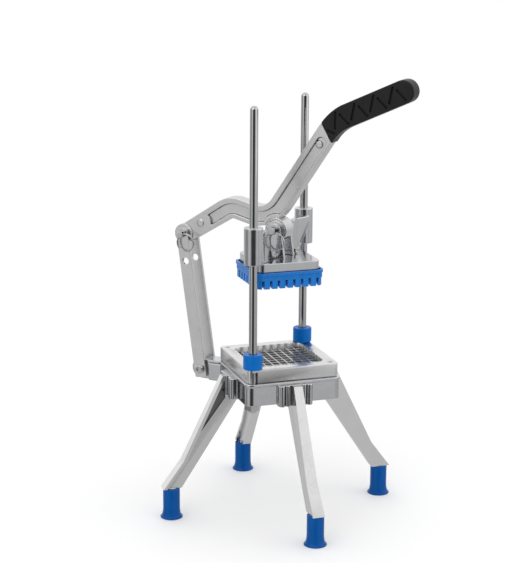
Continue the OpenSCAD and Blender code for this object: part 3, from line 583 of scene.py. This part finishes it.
@dataclass(frozen=True)
class CastWork:
    """How a casting's corners are blended: cut into small cubes, smoothed and thinned.

    Attributes:
        cube: Side of the cubes, in metres.
        passes: Smoothing passes.
        keep: Share of the faces that is kept.
    """

    cube: float
    passes: int
    keep: float

    def make(self, node: str) -> bpy.types.Object:
        """Blend one CAD node's edges and corners.

        Args:
            node: The CAD node.

        Returns:
            The rounded copy.
        """
        piece = copy_of(node, f"{node}_cast")
        apply_modifier(piece, "REMESH", mode="VOXEL", voxel_size=self.cube)
        apply_modifier(piece, "SMOOTH", factor=0.5, iterations=self.passes)
        apply_modifier(piece, "DECIMATE", ratio=self.keep)
        select_only(piece)
        bpy.ops.object.shade_smooth()
        return piece


@dataclass(frozen=True)
class CutWork:
    """How a machined or drawn piece's edges are broken.

    Attributes:
        width: Width of the broken edge, in metres.
        segments: Faces across it.
        angle: Edges sharper than this are broken, in degrees.
    """

    width: float = 0.3 * MM
    segments: int = 2
    angle: float = 35.0

    def make(self, node: str) -> bpy.types.Object:
        """Break one CAD node's edges.

        Args:
            node: The CAD node.

        Returns:
            The copy with broken edges.
        """
        piece = copy_of(node, f"{node}_finished")
        apply_modifier(piece, "DECIMATE", decimate_type="DISSOLVE", angle_limit=FLAT)
        apply_modifier(piece, "BEVEL", width=self.width, segments=self.segments, limit_method="ANGLE",
                       angle_limit=math.radians(self.angle), use_clamp_overlap=True)
        smooth(piece, self.angle)
        apply_modifier(piece, "WEIGHTED_NORMAL", keep_sharp=True)
        return piece


@dataclass
class Finishes:
    """Every material of the object."""

    cast: bpy.types.Material = field(default_factory=MetalFinish(
        "cast_aluminium", (0.58, 0.585, 0.6), 0.15, 0.07, 1.2 * MM, 1.0, 0.012 * MM,
        edge_shine=0.9, crease_tone=0.8).make)
    leg: bpy.types.Material = field(default_factory=MetalFinish(
        "cast_leg_aluminium", (0.65, 0.65, 0.65), 0.3, 0.08, 1.0 * MM, 1.0, 0.012 * MM,
        edge_shine=0.5).make)
    # Painted shade for the legs' sunk sides: a dark grey, rougher material
    hollow: bpy.types.Material = field(default_factory=MetalFinish(
        "leg_hollow_painted_shade", (0.2, 0.2, 0.2), 0.42, 0.15, 1.6 * MM, 1.0, 0.06 * MM).make)
    machined: bpy.types.Material = field(default_factory=MetalFinish(
        "machined_aluminium", (0.72, 0.72, 0.72), 0.25, 0.1, 0.3 * MM, 40, 0.006 * MM).make)
    arm: bpy.types.Material = field(default_factory=MetalFinish(
        "satin_arm_aluminium", (0.66, 0.66, 0.66), 0.3, 0.08, 0.5 * MM, 5, 0.012 * MM,
        (0, math.radians(-35), LEVER_TURN), 0.9, 1.0).make)
    bar: bpy.types.Material = field(default_factory=MetalFinish(
        "satin_bar_aluminium", (0.68, 0.68, 0.68), 0.3, 0.08, 0.4 * MM, 20, 0.008 * MM,
        (0, math.radians(-82), LEVER_TURN)).make)
    chrome: bpy.types.Material = field(default_factory=MetalFinish(
        "polished_steel", (0.53, 0.535, 0.54), 0.08, 0.04, 0.6 * MM, 12, 0.001 * MM,
        (0, math.radians(90), 0)).make)
    bearing: bpy.types.Material = field(default_factory=MouldedFinish(
        "bearing_plastic", (0.6, 0.6, 0.57), 0.4).make)
    foot_rubber: bpy.types.Material = field(default_factory=MouldedFinish(
        "blue_foot_rubber", (0.0, 0.075, 0.3), 0.2, mirror=0.16).make)
    blue_rubber: bpy.types.Material = field(default_factory=MouldedFinish(
        "blue_bumper_rubber", (0.0, 0.13, 0.47), 0.22, mirror=0.16).make)
    blue_plastic: bpy.types.Material = field(default_factory=MouldedFinish(
        "blue_plastic", (0.003, 0.145, 0.48), 0.26, mirror=0.3).make)
    grip: bpy.types.Material = field(default_factory=MouldedFinish(
        "grip_rubber", (0.0165, 0.0165, 0.0165), 0.32, 0.6 * MM, 0.03 * MM, 0.1, 0.0).make)


@dataclass
class Stand:
    """The base casting, its legs, feet, bolts, rods and bumpers.

    Attributes:
        finishes: The object's materials.
        sides: Names of the four sides that carry a leg, counterclockwise from +x.
        hollow_rim: The sunk side of a leg's thin web lies below this, across the leg, in metres.
        hollow_facing: Least share of its faces' normals that points across the leg.
        rod_dome: Share of a rod's radius that its round end takes.
    """

    finishes: Finishes
    sides: tuple[str, ...] = ("right", "back", "left", "front")
    hollow_rim: float = 3 * MM
    hollow_facing: float = 0.8
    rod_dome: float = 0.97

    def build(self) -> None:
        """Make and dress every piece of the stand."""
        self._castings()
        self._feet()
        self._rods()
        self._fasteners()

    def _castings(self) -> None:
        """Blend the base casting and the legs."""
        dress(CastWork(0.6 * MM, 2, 0.4).make("base_casting"), self.finishes.cast, "base",
              ["base_casting"])
        for number, side in enumerate(self.sides):
            node = f"leg_{side}"
            leg = CutWork(0.5 * MM, 2, 25).make(node)
            dress(leg, self.finishes.leg, "base", [node])
            self._shade_hollow(leg, number * math.pi / 2)

    def _shade_hollow(self, leg: bpy.types.Object, turn: float) -> None:
        """Paint shade on the sunk side of a leg: a dark grey, rougher material goes on its faces.

        Args:
            leg: The leg, dressed already.
            turn: How far it is turned from the leg on the +x side, in radians.
        """
        # Painted shade: the faces of the sunk side get the dark grey material
        leg.data.materials.append(self.finishes.hollow)
        back = Matrix.Rotation(-turn, 3, "Z")
        for face in leg.data.polygons:
            middle, normal = back @ face.center, back @ face.normal
            if normal.y > self.hollow_facing and middle.y < self.hollow_rim:
                face.material_index = 1

    def _feet(self) -> None:
        """Round the edges of the feet and bumpers."""
        for node in [f"foot_{side}" for side in self.sides]:
            dress(CutWork(0.9 * MM, 3).make(node), self.finishes.foot_rubber, "base",
                  [node])
        for node in ("rod_bumper_front", "rod_bumper_back"):
            dress(CutWork(0.9 * MM, 3).make(node), self.finishes.blue_rubber, "base",
                  [node])

    def _rods(self) -> None:
        """Make the two polished guide rods, each turned as one bar with a round end."""
        for node in ("guide_rod_front", "guide_rod_back"):
            low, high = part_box(node)
            radius = (high.x - low.x) / 2
            bpy.ops.object.select_all(action="DESELECT")
            bpy.ops.mesh.primitive_cylinder_add(
                vertices=96, radius=radius, depth=high.z - low.z, location=(low + high) / 2)
            rod = bpy.context.object
            rod.name = f"{node}_polished"
            settle(rod)

            def at_top(edge: bmesh.types.BMEdge, top: float = high.z) -> bool:
                """Return whether an edge is on the rod's top rim."""
                return all(vertex.co.z > top - MERGE for vertex in edge.verts)

            round_edges(rod, at_top, radius * self.rod_dome, 12)
            smooth(rod, 30)
            dress(rod, self.finishes.chrome, "base", [node])

    def _fasteners(self) -> None:
        """Break the edges of nuts, bolts and screws."""
        for node in ("leg_bolts", "rod_nuts", "frame_screws", "link_bolt", "link_nut"):
            dress(CutWork(0.35 * MM).make(node), self.finishes.chrome, "base", [node])
        dress(CutWork(0.2 * MM).make("lug_sleeve"), self.finishes.bearing, "base",
              ["lug_sleeve"])


@dataclass
class BladeGrid:
    """The frame on the deck and the crossed blades in it.

    Attributes:
        finishes: The object's materials.
        top_edge: Rounding of the frame's upper rim.
        seam: Chamfer of its lower rim, which makes the dark seam on the deck.
        rim_strip: Width of the strip along its outline that counts as its rim.
        corner: Reach of its rounded corners.
    """

    finishes: Finishes
    top_edge: float = 1.1 * MM
    seam: float = 1.2 * MM
    rim_strip: float = 0.55 * MM
    corner: float = 12 * MM

    def build(self) -> None:
        """Round the frame and grind the blades."""
        piece = copy_of("blade_frame", "blade_frame_milled")
        apply_modifier(piece, "DECIMATE", decimate_type="DISSOLVE", angle_limit=FLAT)
        low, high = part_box("blade_frame")
        reach = high.x - self.rim_strip
        inner = reach - self.corner
        cut_off = reach * math.sqrt(2) - self.corner / 3

        def on_rim(edge: bmesh.types.BMEdge, level: float) -> bool:
            """Return whether an edge is on the frame's outer rim, at a level."""
            for vertex in edge.verts:
                x, y = abs(vertex.co.x), abs(vertex.co.y)
                at_corner = min(x, y) > inner and math.hypot(x, y) > cut_off
                if abs(vertex.co.z - level) > MERGE or not (max(x, y) > reach or at_corner):
                    return False
            return True

        round_edges(piece, lambda edge: on_rim(edge, high.z), self.top_edge, 5)
        round_edges(piece, lambda edge: on_rim(edge, low.z), self.seam, 1)
        apply_modifier(piece, "BEVEL", width=0.25 * MM, segments=2, limit_method="ANGLE",
                       angle_limit=math.radians(40))
        smooth(piece, 35)
        dress(piece, self.finishes.machined, "base", ["blade_frame"])
        blade_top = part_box("blades_lengthwise")[1].z
        steel = BladeFinish("ground_blade_steel", blade_top).make()
        for node in ("blades_lengthwise", "blades_crosswise"):
            dress(CutWork(0.06 * MM, 1).make(node), steel, "base", [node])


@dataclass
class RingPin:
    """A split ring that hangs in a pin's cross hole.

    Attributes:
        node: The CAD node of the ring.
        joint: The joint on which it swings.
        radius: Radius along the wire, in metres.
        wire: Radius of the wire, in metres.
        sides: Sides of the wire's section.
        steps: Steps around one turn.
    """

    node: str
    joint: str
    radius: float = 11.2 * MM
    wire: float = 0.72 * MM
    sides: int = 10
    steps: int = 64

    def build(self, material: bpy.types.Material) -> None:
        """Wind the ring in two turns and hang it in its hole.

        Args:
            material: The ring's finish.
        """
        bpy.ops.object.select_all(action="DESELECT")
        bpy.ops.mesh.primitive_circle_add(vertices=self.sides, radius=self.wire, fill_type="NGON",
                                          location=(self.radius, 0, 0), rotation=(math.pi / 2, 0, 0))
        ring = bpy.context.object
        ring.name = f"{self.node}_split"
        settle(ring)
        pitch = 2 * self.wire
        apply_modifier(ring, "SCREW", angle=math.tau, screw_offset=pitch, iterations=2,
                       steps=self.steps, render_steps=self.steps, use_merge_vertices=False)
        mend_normals(ring)
        low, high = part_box(self.node)
        middle = (low + high) / 2
        tilt = Matrix.Rotation(LEVER_TURN, 4, "Z") @ Matrix.Rotation(math.pi / 2, 4, "X")
        hang = Vector(JOINTS[self.joint]["pos_m"]) - middle
        flat = tilt.inverted().to_3x3() @ hang
        spin = Matrix.Rotation(math.atan2(flat.y, flat.x) + math.pi / 2, 4, "Z")
        ring.matrix_world = (Matrix.Translation(middle) @ tilt @ spin
                             @ Matrix.Translation((0, 0, -pitch)))
        settle(ring)
        smooth(ring, 60)
        dress(ring, material, body_of(self.node), [self.node])


@dataclass
class Link:
    """The two bars behind the rods, their upper pin and its ring.

    Attributes:
        finishes: The object's materials.
    """

    finishes: Finishes

    def build(self) -> None:
        """Make and dress the link's pieces."""
        for node in ("link_bar_front", "link_bar_rear"):
            dress(CutWork(0.5 * MM, 3).make(node), self.finishes.bar, "link", [node])
        dress(CutWork(0.3 * MM).make("link_pin"), self.finishes.chrome, "link", ["link_pin"])
        RingPin("link_pin_ring", "link_ring_swing").build(self.finishes.chrome)


@dataclass
class Handle:
    """The cast lever and its moulded grip, drawn in the lever's plane.

    Attributes:
        finishes: The object's materials.
        neck: Where the upper arm starts, from the hub, along and up, in metres.
        bend: The corner of the handle's bend.
        tip: Centre of the grip's round end.
        bend_r: Radius of the bend along its middle.
        depth: Depth of the grip in the lever's plane.
        thick: Thickness of the grip across it.
        start: Where the grip starts past the start of the bend.
        start_half: Upper half depth where the grip starts.
        slant: Slant of the grip's start, in degrees.
        rim: Radius of the grip's rounded rims.
        pitch: Repeat of the zigzag grooves.
        groove_w: Width of a groove.
        groove_d: Depth of a groove.
        repeats: How often the zigzag repeats.
        lead: Where the grip's mesh starts, before its slanted start is cut.
        bend_steps: Steps of the mesh around the bend.
        nose: Share of the half depth that the round end takes.
    """

    finishes: Finishes
    neck: tuple[float, float] = (-10.8 * MM, 11.4 * MM)
    bend: tuple[float, float] = (71.8 * MM, 137 * MM)
    tip: tuple[float, float] = (160.2 * MM, 177.6 * MM)
    bend_r: float = 62 * MM
    depth: float = 28 * MM
    thick: float = 21 * MM
    start: float = 3.6 * MM
    start_half: float = 10.5 * MM
    slant: float = 27.0
    rim: float = 5.4 * MM
    pitch: float = 26 * MM
    groove_w: float = 2.6 * MM
    groove_d: float = 2.2 * MM
    repeats: int = 5
    lead: float = -20 * MM
    bend_steps: int = 10
    nose: float = 0.98

    def build(self) -> None:
        """Make and dress the lever's pieces."""
        dress(CastWork(0.55 * MM, 2, 0.35).make("lever"), self.finishes.arm, "lever", ["lever"])
        dress(self._grip(), self.finishes.grip, "lever", ["grip"])
        dress(CutWork(0.3 * MM).make("eye_pin"), self.finishes.chrome, "lever", ["eye_pin"])
        dress(CutWork(0.2 * MM).make("hub_sleeve"), self.finishes.bearing, "lever",
              ["hub_sleeve"])

    def _headings(self) -> tuple[float, float]:
        """Return the headings of the upper arm and of the grip, in radians."""
        arm = math.atan2(self.bend[1] - self.neck[1], self.bend[0] - self.neck[0])
        grip = math.atan2(self.tip[1] - self.bend[1], self.tip[0] - self.bend[0])
        return arm, grip

    def _along(self, s: float, w: float) -> Vector:
        """Give a point on the handle.

        Args:
            s: Distance past the start of the bend's arc, along the handle's middle.
            w: Distance to the left of the middle, which is its upper side.

        Returns:
            The point in the lever's plane, y being 0.
        """
        arm, grip = self._headings()
        turn = grip - arm
        back = self.bend_r * math.tan(abs(turn) / 2)
        hub = Vector(JOINTS["lever_pivot"]["pos_m"])
        start = Vector((self.bend[0] - back * math.cos(arm), self.bend[1] - back * math.sin(arm)))
        left = Vector((-math.sin(arm), math.cos(arm)))
        centre = start - self.bend_r * left
        arc = self.bend_r * abs(turn)
        heading = arm + turn * min(max(s / arc, 0), 1)
        left = Vector((-math.sin(heading), math.cos(heading)))
        ahead = Vector((math.cos(heading), math.sin(heading)))
        beyond = s if s < 0 else max(s - arc, 0)
        point = centre + (self.bend_r + w) * left + beyond * ahead
        return Vector((point.x, 0, hub.z + point.y))

    def _grip(self) -> bpy.types.Object:
        """Extrude the grip along the bend, round its rims and end, and cut its grooves.

        Returns:
            The grip.
        """
        arm, grip_heading = self._headings()
        turn = grip_heading - arm
        begin = self._along(self.lead, 0)
        bpy.ops.object.select_all(action="DESELECT")
        bpy.ops.mesh.primitive_plane_add(size=1, location=begin, rotation=(0, math.pi / 2 - arm, 0))
        grip = bpy.context.object
        grip.name = "grip_moulded"
        grip.scale = (self.depth, self.thick, 1)
        settle(grip)
        bpy.ops.object.mode_set(mode="EDIT")
        bpy.ops.mesh.select_mode(type="FACE")
        bpy.ops.mesh.select_all(action="SELECT")
        reach = self._along(0, 0) - begin
        bpy.ops.mesh.extrude_region_move(TRANSFORM_OT_translate={"value": reach})
        centre = self._along(0, -self.bend_r)
        bpy.ops.mesh.spin(steps=self.bend_steps, angle=turn, center=centre, axis=(0, 1, 0))
        arc = self.bend_r * abs(turn)
        ahead = Vector((math.cos(grip_heading), 0, math.sin(grip_heading)))
        end = Vector((self.tip[0], 0, JOINTS["lever_pivot"]["pos_m"][2] + self.tip[1]))
        length = (end - self._along(arc, 0)).length + self.depth / 2
        bpy.ops.mesh.extrude_region_move(TRANSFORM_OT_translate={"value": ahead * length})
        bpy.ops.object.mode_set(mode="OBJECT")
        mend_normals(grip)
        self._taper(grip)
        far = end + ahead * (self.depth / 2)

        def at_end(edge: bmesh.types.BMEdge) -> bool:
            """Return whether an edge crosses the grip at its far end."""
            first, second = (vertex.co for vertex in edge.verts)
            near_end = all((point - far).dot(ahead) > -MERGE for point in (first, second))
            return near_end and abs(first.y - second.y) > self.thick / 2

        round_edges(grip, at_end, self.depth / 2 * self.nose, 10)
        self._cut_start(grip, arm)

        def on_rim(edge: bmesh.types.BMEdge) -> bool:
            """Return whether an edge is on the rim of one of the grip's flat sides."""
            first, second = (vertex.co for vertex in edge.verts)
            side = self.thick / 2 - MERGE
            if min(abs(first.y), abs(second.y)) < side or abs(first.y - second.y) > side:
                return False
            return len(edge.link_faces) == 2 and edge.calc_face_angle(0) > math.radians(45)

        round_edges(grip, on_rim, self.rim, 6)
        mend_normals(grip)
        self._cut_grooves(grip)
        apply_modifier(grip, "REMESH", mode="VOXEL", voxel_size=0.5 * MM)
        apply_modifier(grip, "SMOOTH", factor=0.5, iterations=3)
        apply_modifier(grip, "DECIMATE", ratio=0.6)
        bpy.ops.object.shade_smooth()
        turn_to_base(grip)
        return grip

    def _taper(self, grip: bpy.types.Object) -> None:
        """Draw the grip's upper edge in where the bend starts.

        Args:
            grip: The extruded grip, not rounded yet.
        """
        arm, grip_heading = self._headings()
        arc = self.bend_r * abs(grip_heading - arm)
        full = self.depth / 2
        halves = [(self.lead, self.start_half)]
        for step in range(self.bend_steps + 1):
            half = self.start_half + (full - self.start_half) * step / self.bend_steps
            halves.append((arc * step / self.bend_steps, half))
        near = 0.1 * MM
        for vertex in grip.data.vertices:
            for s, half in halves:
                if (Vector((vertex.co.x, 0, vertex.co.z)) - self._along(s, full)).length < near:
                    moved = self._along(s, half)
                    vertex.co.x, vertex.co.z = moved.x, moved.z
                    break

    def _cut_start(self, grip: bpy.types.Object, arm: float) -> None:
        """Cut the grip off along its slanted start.

        Args:
            grip: The grip.
            arm: Heading of the upper arm, in radians.
        """
        tilt = arm - math.radians(self.slant)
        select_only(grip)
        bpy.ops.object.mode_set(mode="EDIT")
        bpy.ops.mesh.select_all(action="SELECT")
        bpy.ops.mesh.bisect(plane_co=self._along(self.start, 0),
                            plane_no=(math.cos(tilt), 0, math.sin(tilt)),
                            use_fill=True, clear_inner=True, clear_outer=False)
        bpy.ops.object.mode_set(mode="OBJECT")

    def _cut_grooves(self, grip: bpy.types.Object) -> None:
        """Cut the zigzag grooves into both flat sides.

        Args:
            grip: The grip.
        """
        # Each stroke's ends: along in pitches, and across in half depths
        strokes = (((0.0, 0.72), (-0.47, -0.5)), ((0.11, 0.4), (0.36, -0.74)))
        first = 0.06
        half = self.depth / 2
        cutters = []
        for repeat in range(self.repeats):
            for (s0, w0), (s1, w1) in strokes:
                start = self._along((repeat + first + s0) * self.pitch, w0 * half)
                stop = self._along((repeat + first + s1) * self.pitch, w1 * half)
                for side in (-1, 1):
                    cutters.append(self._groove(start, stop, side))
        bpy.ops.object.select_all(action="DESELECT")
        for cutter in cutters:
            cutter.select_set(True)
        bpy.context.view_layer.objects.active = cutters[0]
        bpy.ops.object.join()
        cutter = bpy.context.object
        apply_modifier(grip, "BOOLEAN", operation="DIFFERENCE", object=cutter, solver="EXACT")
        bpy.data.objects.remove(cutter)

    def _groove(self, start: Vector, stop: Vector, side: int) -> bpy.types.Object:
        """Make the cutter of one groove, with broken edges.

        Args:
            start: One end of the groove in the lever's plane.
            stop: Its other end.
            side: 1 for the back of the grip, and -1 for its front.

        Returns:
            The cutter.
        """
        run = stop - start
        middle = (start + stop) / 2 + Vector((0, side * self.thick / 2, 0))
        bpy.ops.object.select_all(action="DESELECT")
        bpy.ops.mesh.primitive_cube_add(size=1, location=middle,
                                        rotation=(0, -math.atan2(run.z, run.x), 0))
        cutter = bpy.context.object
        cutter.scale = (run.length, 2 * self.groove_d, self.groove_w)
        settle(cutter)
        return cutter


@dataclass
class Pusher:
    """The sliding head with its sleeves, block, screws, pin and ring.

    Attributes:
        finishes: The object's materials.
    """

    finishes: Finishes

    def build(self) -> None:
        """Make and dress the head's pieces."""
        dress(CastWork(0.55 * MM, 3, 0.35).make("pusher_head"), self.finishes.cast, "head",
              ["pusher_head"])
        dress(CutWork(0.35 * MM, 2).make("pusher_block"), self.finishes.blue_plastic,
              "head", ["pusher_block"])
        for node in ("guide_sleeve_front", "guide_sleeve_back"):
            dress(CutWork(0.2 * MM).make(node), self.finishes.bearing, "head", [node])
        for node in ("pusher_screws", "pusher_washers", "hub_pin"):
            dress(CutWork(0.35 * MM).make(node), self.finishes.chrome, "head", [node])
        RingPin("hub_pin_ring", "hub_ring_swing").build(self.finishes.chrome)


@dataclass(frozen=True)
class Studio:
    """A pale floor, soft lamps, a white background and the camera.

    Attributes:
        azimuth: The camera's azimuth, in degrees; 0 looks along +Y.
        elevation: Its height above the horizon, in degrees.
        roll: Its roll, in degrees.
        distance: Its distance from the point that it looks at, in metres.
        aside: That point's distance to the right of the origin, in metres.
        height: That point's height, in metres.
        lens: Its focal length for the sensor below, in millimetres.
        sensor: The sensor's size along the picture's height, in millimetres.
        floor_radius: Radius of the floor, in metres.
        floor_fade: Where the floor starts to fade and where it is gone, in metres from the origin.
        lamp_aim: Height that the lamps face, in metres.
    """

    azimuth: float = -18.698
    elevation: float = 13.643
    roll: float = 0.338
    distance: float = 2.0489
    aside: float = -0.0263
    height: float = 0.2912
    lens: float = 106.34
    sensor: float = 36
    floor_radius: float = 3
    floor_fade: tuple[float, float] = (0.35, 1.1)
    lamp_aim: float = 0.25

    def build(self) -> None:
        """Set up everything that isn't the object."""
        self._camera()
        self._floor()
        self._world()
        self._lamp("key_softbox", (-1.5, -1.3, 1.9), 2.0, 9)
        self._lamp("fill_softbox", (1.9, -1.0, 1.1), 2.2, 6)
        self._lamp("top_softbox", (0.1, 0.5, 2.3), 2.6, 8)
        bpy.context.scene.view_settings.view_transform = "Standard"

    def _camera(self) -> None:
        """Place the camera at the photograph's viewing angle."""
        a, e, r = (math.radians(v) for v in (self.azimuth, self.elevation, self.roll))
        back = Vector((math.sin(a) * math.cos(e), -math.cos(a) * math.cos(e), math.sin(e)))
        level = Vector((math.cos(a), math.sin(a), 0))
        up = back.cross(level)
        right = math.cos(r) * level + math.sin(r) * up
        upright = math.cos(r) * up - math.sin(r) * level
        target = level * self.aside + Vector((0, 0, self.height))
        lens = bpy.data.cameras.new("camera")
        lens.sensor_width = self.sensor
        lens.lens = self.lens
        camera = bpy.data.objects.new("camera", lens)
        bpy.context.scene.collection.objects.link(camera)
        turn = Matrix((right, upright, back)).transposed()
        camera.matrix_world = Matrix.Translation(target + back * self.distance) @ turn.to_4x4()
        bpy.context.scene.camera = camera

    def _floor(self) -> None:
        """Lay a pale floor that fades into the white background."""
        bpy.ops.object.select_all(action="DESELECT")
        bpy.ops.mesh.primitive_circle_add(
            vertices=96, radius=self.floor_radius, fill_type="NGON", location=(0, 0, 0))
        floor = bpy.context.object
        floor.name = "floor"
        shader = Shader(bpy.data.materials.new("pale_floor"))
        place = shader.place()
        far = shader.node("ShaderNodeVectorMath", {"operation": "LENGTH"}, {0: place}).outputs["Value"]
        fade = shader.ramp(Term(shader, far), *self.floor_fade)
        shader.paint(Base_Color=(0.95, 0.95, 0.95, 1), Roughness=0.7)
        mirrored = Term(shader, shader.node("ShaderNodeLightPath").outputs["Is Glossy Ray"])
        clear = shader.node("ShaderNodeBsdfTransparent")
        solid = shader.tree.nodes["Principled BSDF"]
        surface = shader.node("ShaderNodeMixShader", None, {
            0: fade.highest(mirrored), 1: solid.outputs[0], 2: clear.outputs[0]})
        shader.feed(shader.tree.nodes["Material Output"].inputs["Surface"], surface.outputs[0])
        floor.data.materials.append(shader.owner)

    def _world(self) -> None:
        """Light the object evenly, and show white to the camera."""
        world = bpy.data.worlds.new("studio")
        bpy.context.scene.world = world
        shader = Shader(world)
        toward = shader.node("ShaderNodeTexCoord").outputs["Generated"]
        a = math.radians(self.azimuth)
        facing = shader.node("ShaderNodeVectorMath", {"operation": "DOT_PRODUCT"},
                             {0: toward, 1: (math.sin(a), -math.cos(a), 0)}).outputs["Value"]
        height = Term(shader, shader.node("ShaderNodeSeparateXYZ", None, {0: toward}).outputs["Z"])
        aside = Term(shader, shader.node("ShaderNodeVectorMath", {"operation": "DOT_PRODUCT"},
                                         {0: toward, 1: (math.cos(a), math.sin(a), 0)}).outputs["Value"])
        # Dark zones that the metal mirrors: behind the camera, and two upright gaps beside the object
        left, right = -0.97, 0.86
        behind = shader.ramp(Term(shader, facing), 0.75, 0.94)
        left_gap = shader.ramp((aside - left) * (aside - left), 0.012, 0.002)
        right_gap = shader.ramp((aside - right) * (aside - right), 0.02, 0.003)
        low = shader.ramp(0.0 - height, -0.1, 0.35)
        path = shader.node("ShaderNodeLightPath").outputs
        seen = Term(shader, path["Is Camera Ray"]).highest(Term(shader, path["Is Transmission Ray"]))
        glossy = Term(shader, path["Is Glossy Ray"])
        zenith = shader.ramp(height, 0.55, 0.9)
        mirrored = 1.0 - behind * 0.94
        for zone, depth in ((left_gap, 0.5), (right_gap, 0.2), (low, 0.4), (zenith, 0.4)):
            mirrored = mirrored * (1.0 - zone * depth)
        ambient = 0.92
        level = seen + glossy * mirrored + (1.0 - seen.highest(glossy)) * ambient
        background = world.node_tree.nodes["Background"]
        shader.feed(background.inputs["Color"], (1, 1, 1, 1))
        shader.feed(background.inputs["Strength"], level)

    def _lamp(self, name: str, place: Point, size: float, power: float) -> None:
        """Hang one softbox that faces the object's middle.

        Args:
            name: Its name.
            place: Where it hangs, in metres.
            size: Side of its square, in metres.
            power: Its power in watts.
        """
        light = bpy.data.lights.new(name, "AREA")
        light.size = size
        light.energy = power
        lamp = bpy.data.objects.new(name, light)
        bpy.context.scene.collection.objects.link(lamp)
        aim = Vector((0, 0, self.lamp_aim)) - Vector(place)
        lamp.matrix_world = Matrix.Translation(place) @ aim.to_track_quat("-Z", "Y").to_matrix().to_4x4()


def main() -> None:
    """Build the object's looks and the studio around it."""
    logging.basicConfig(level=logging.INFO, format="%(name)s: %(message)s")
    finishes = Finishes()
    Stand(finishes).build()
    BladeGrid(finishes).build()
    Link(finishes).build()
    Handle(finishes).build()
    Pusher(finishes).build()
    Studio().build()


if __name__ == "__main__":
    main()
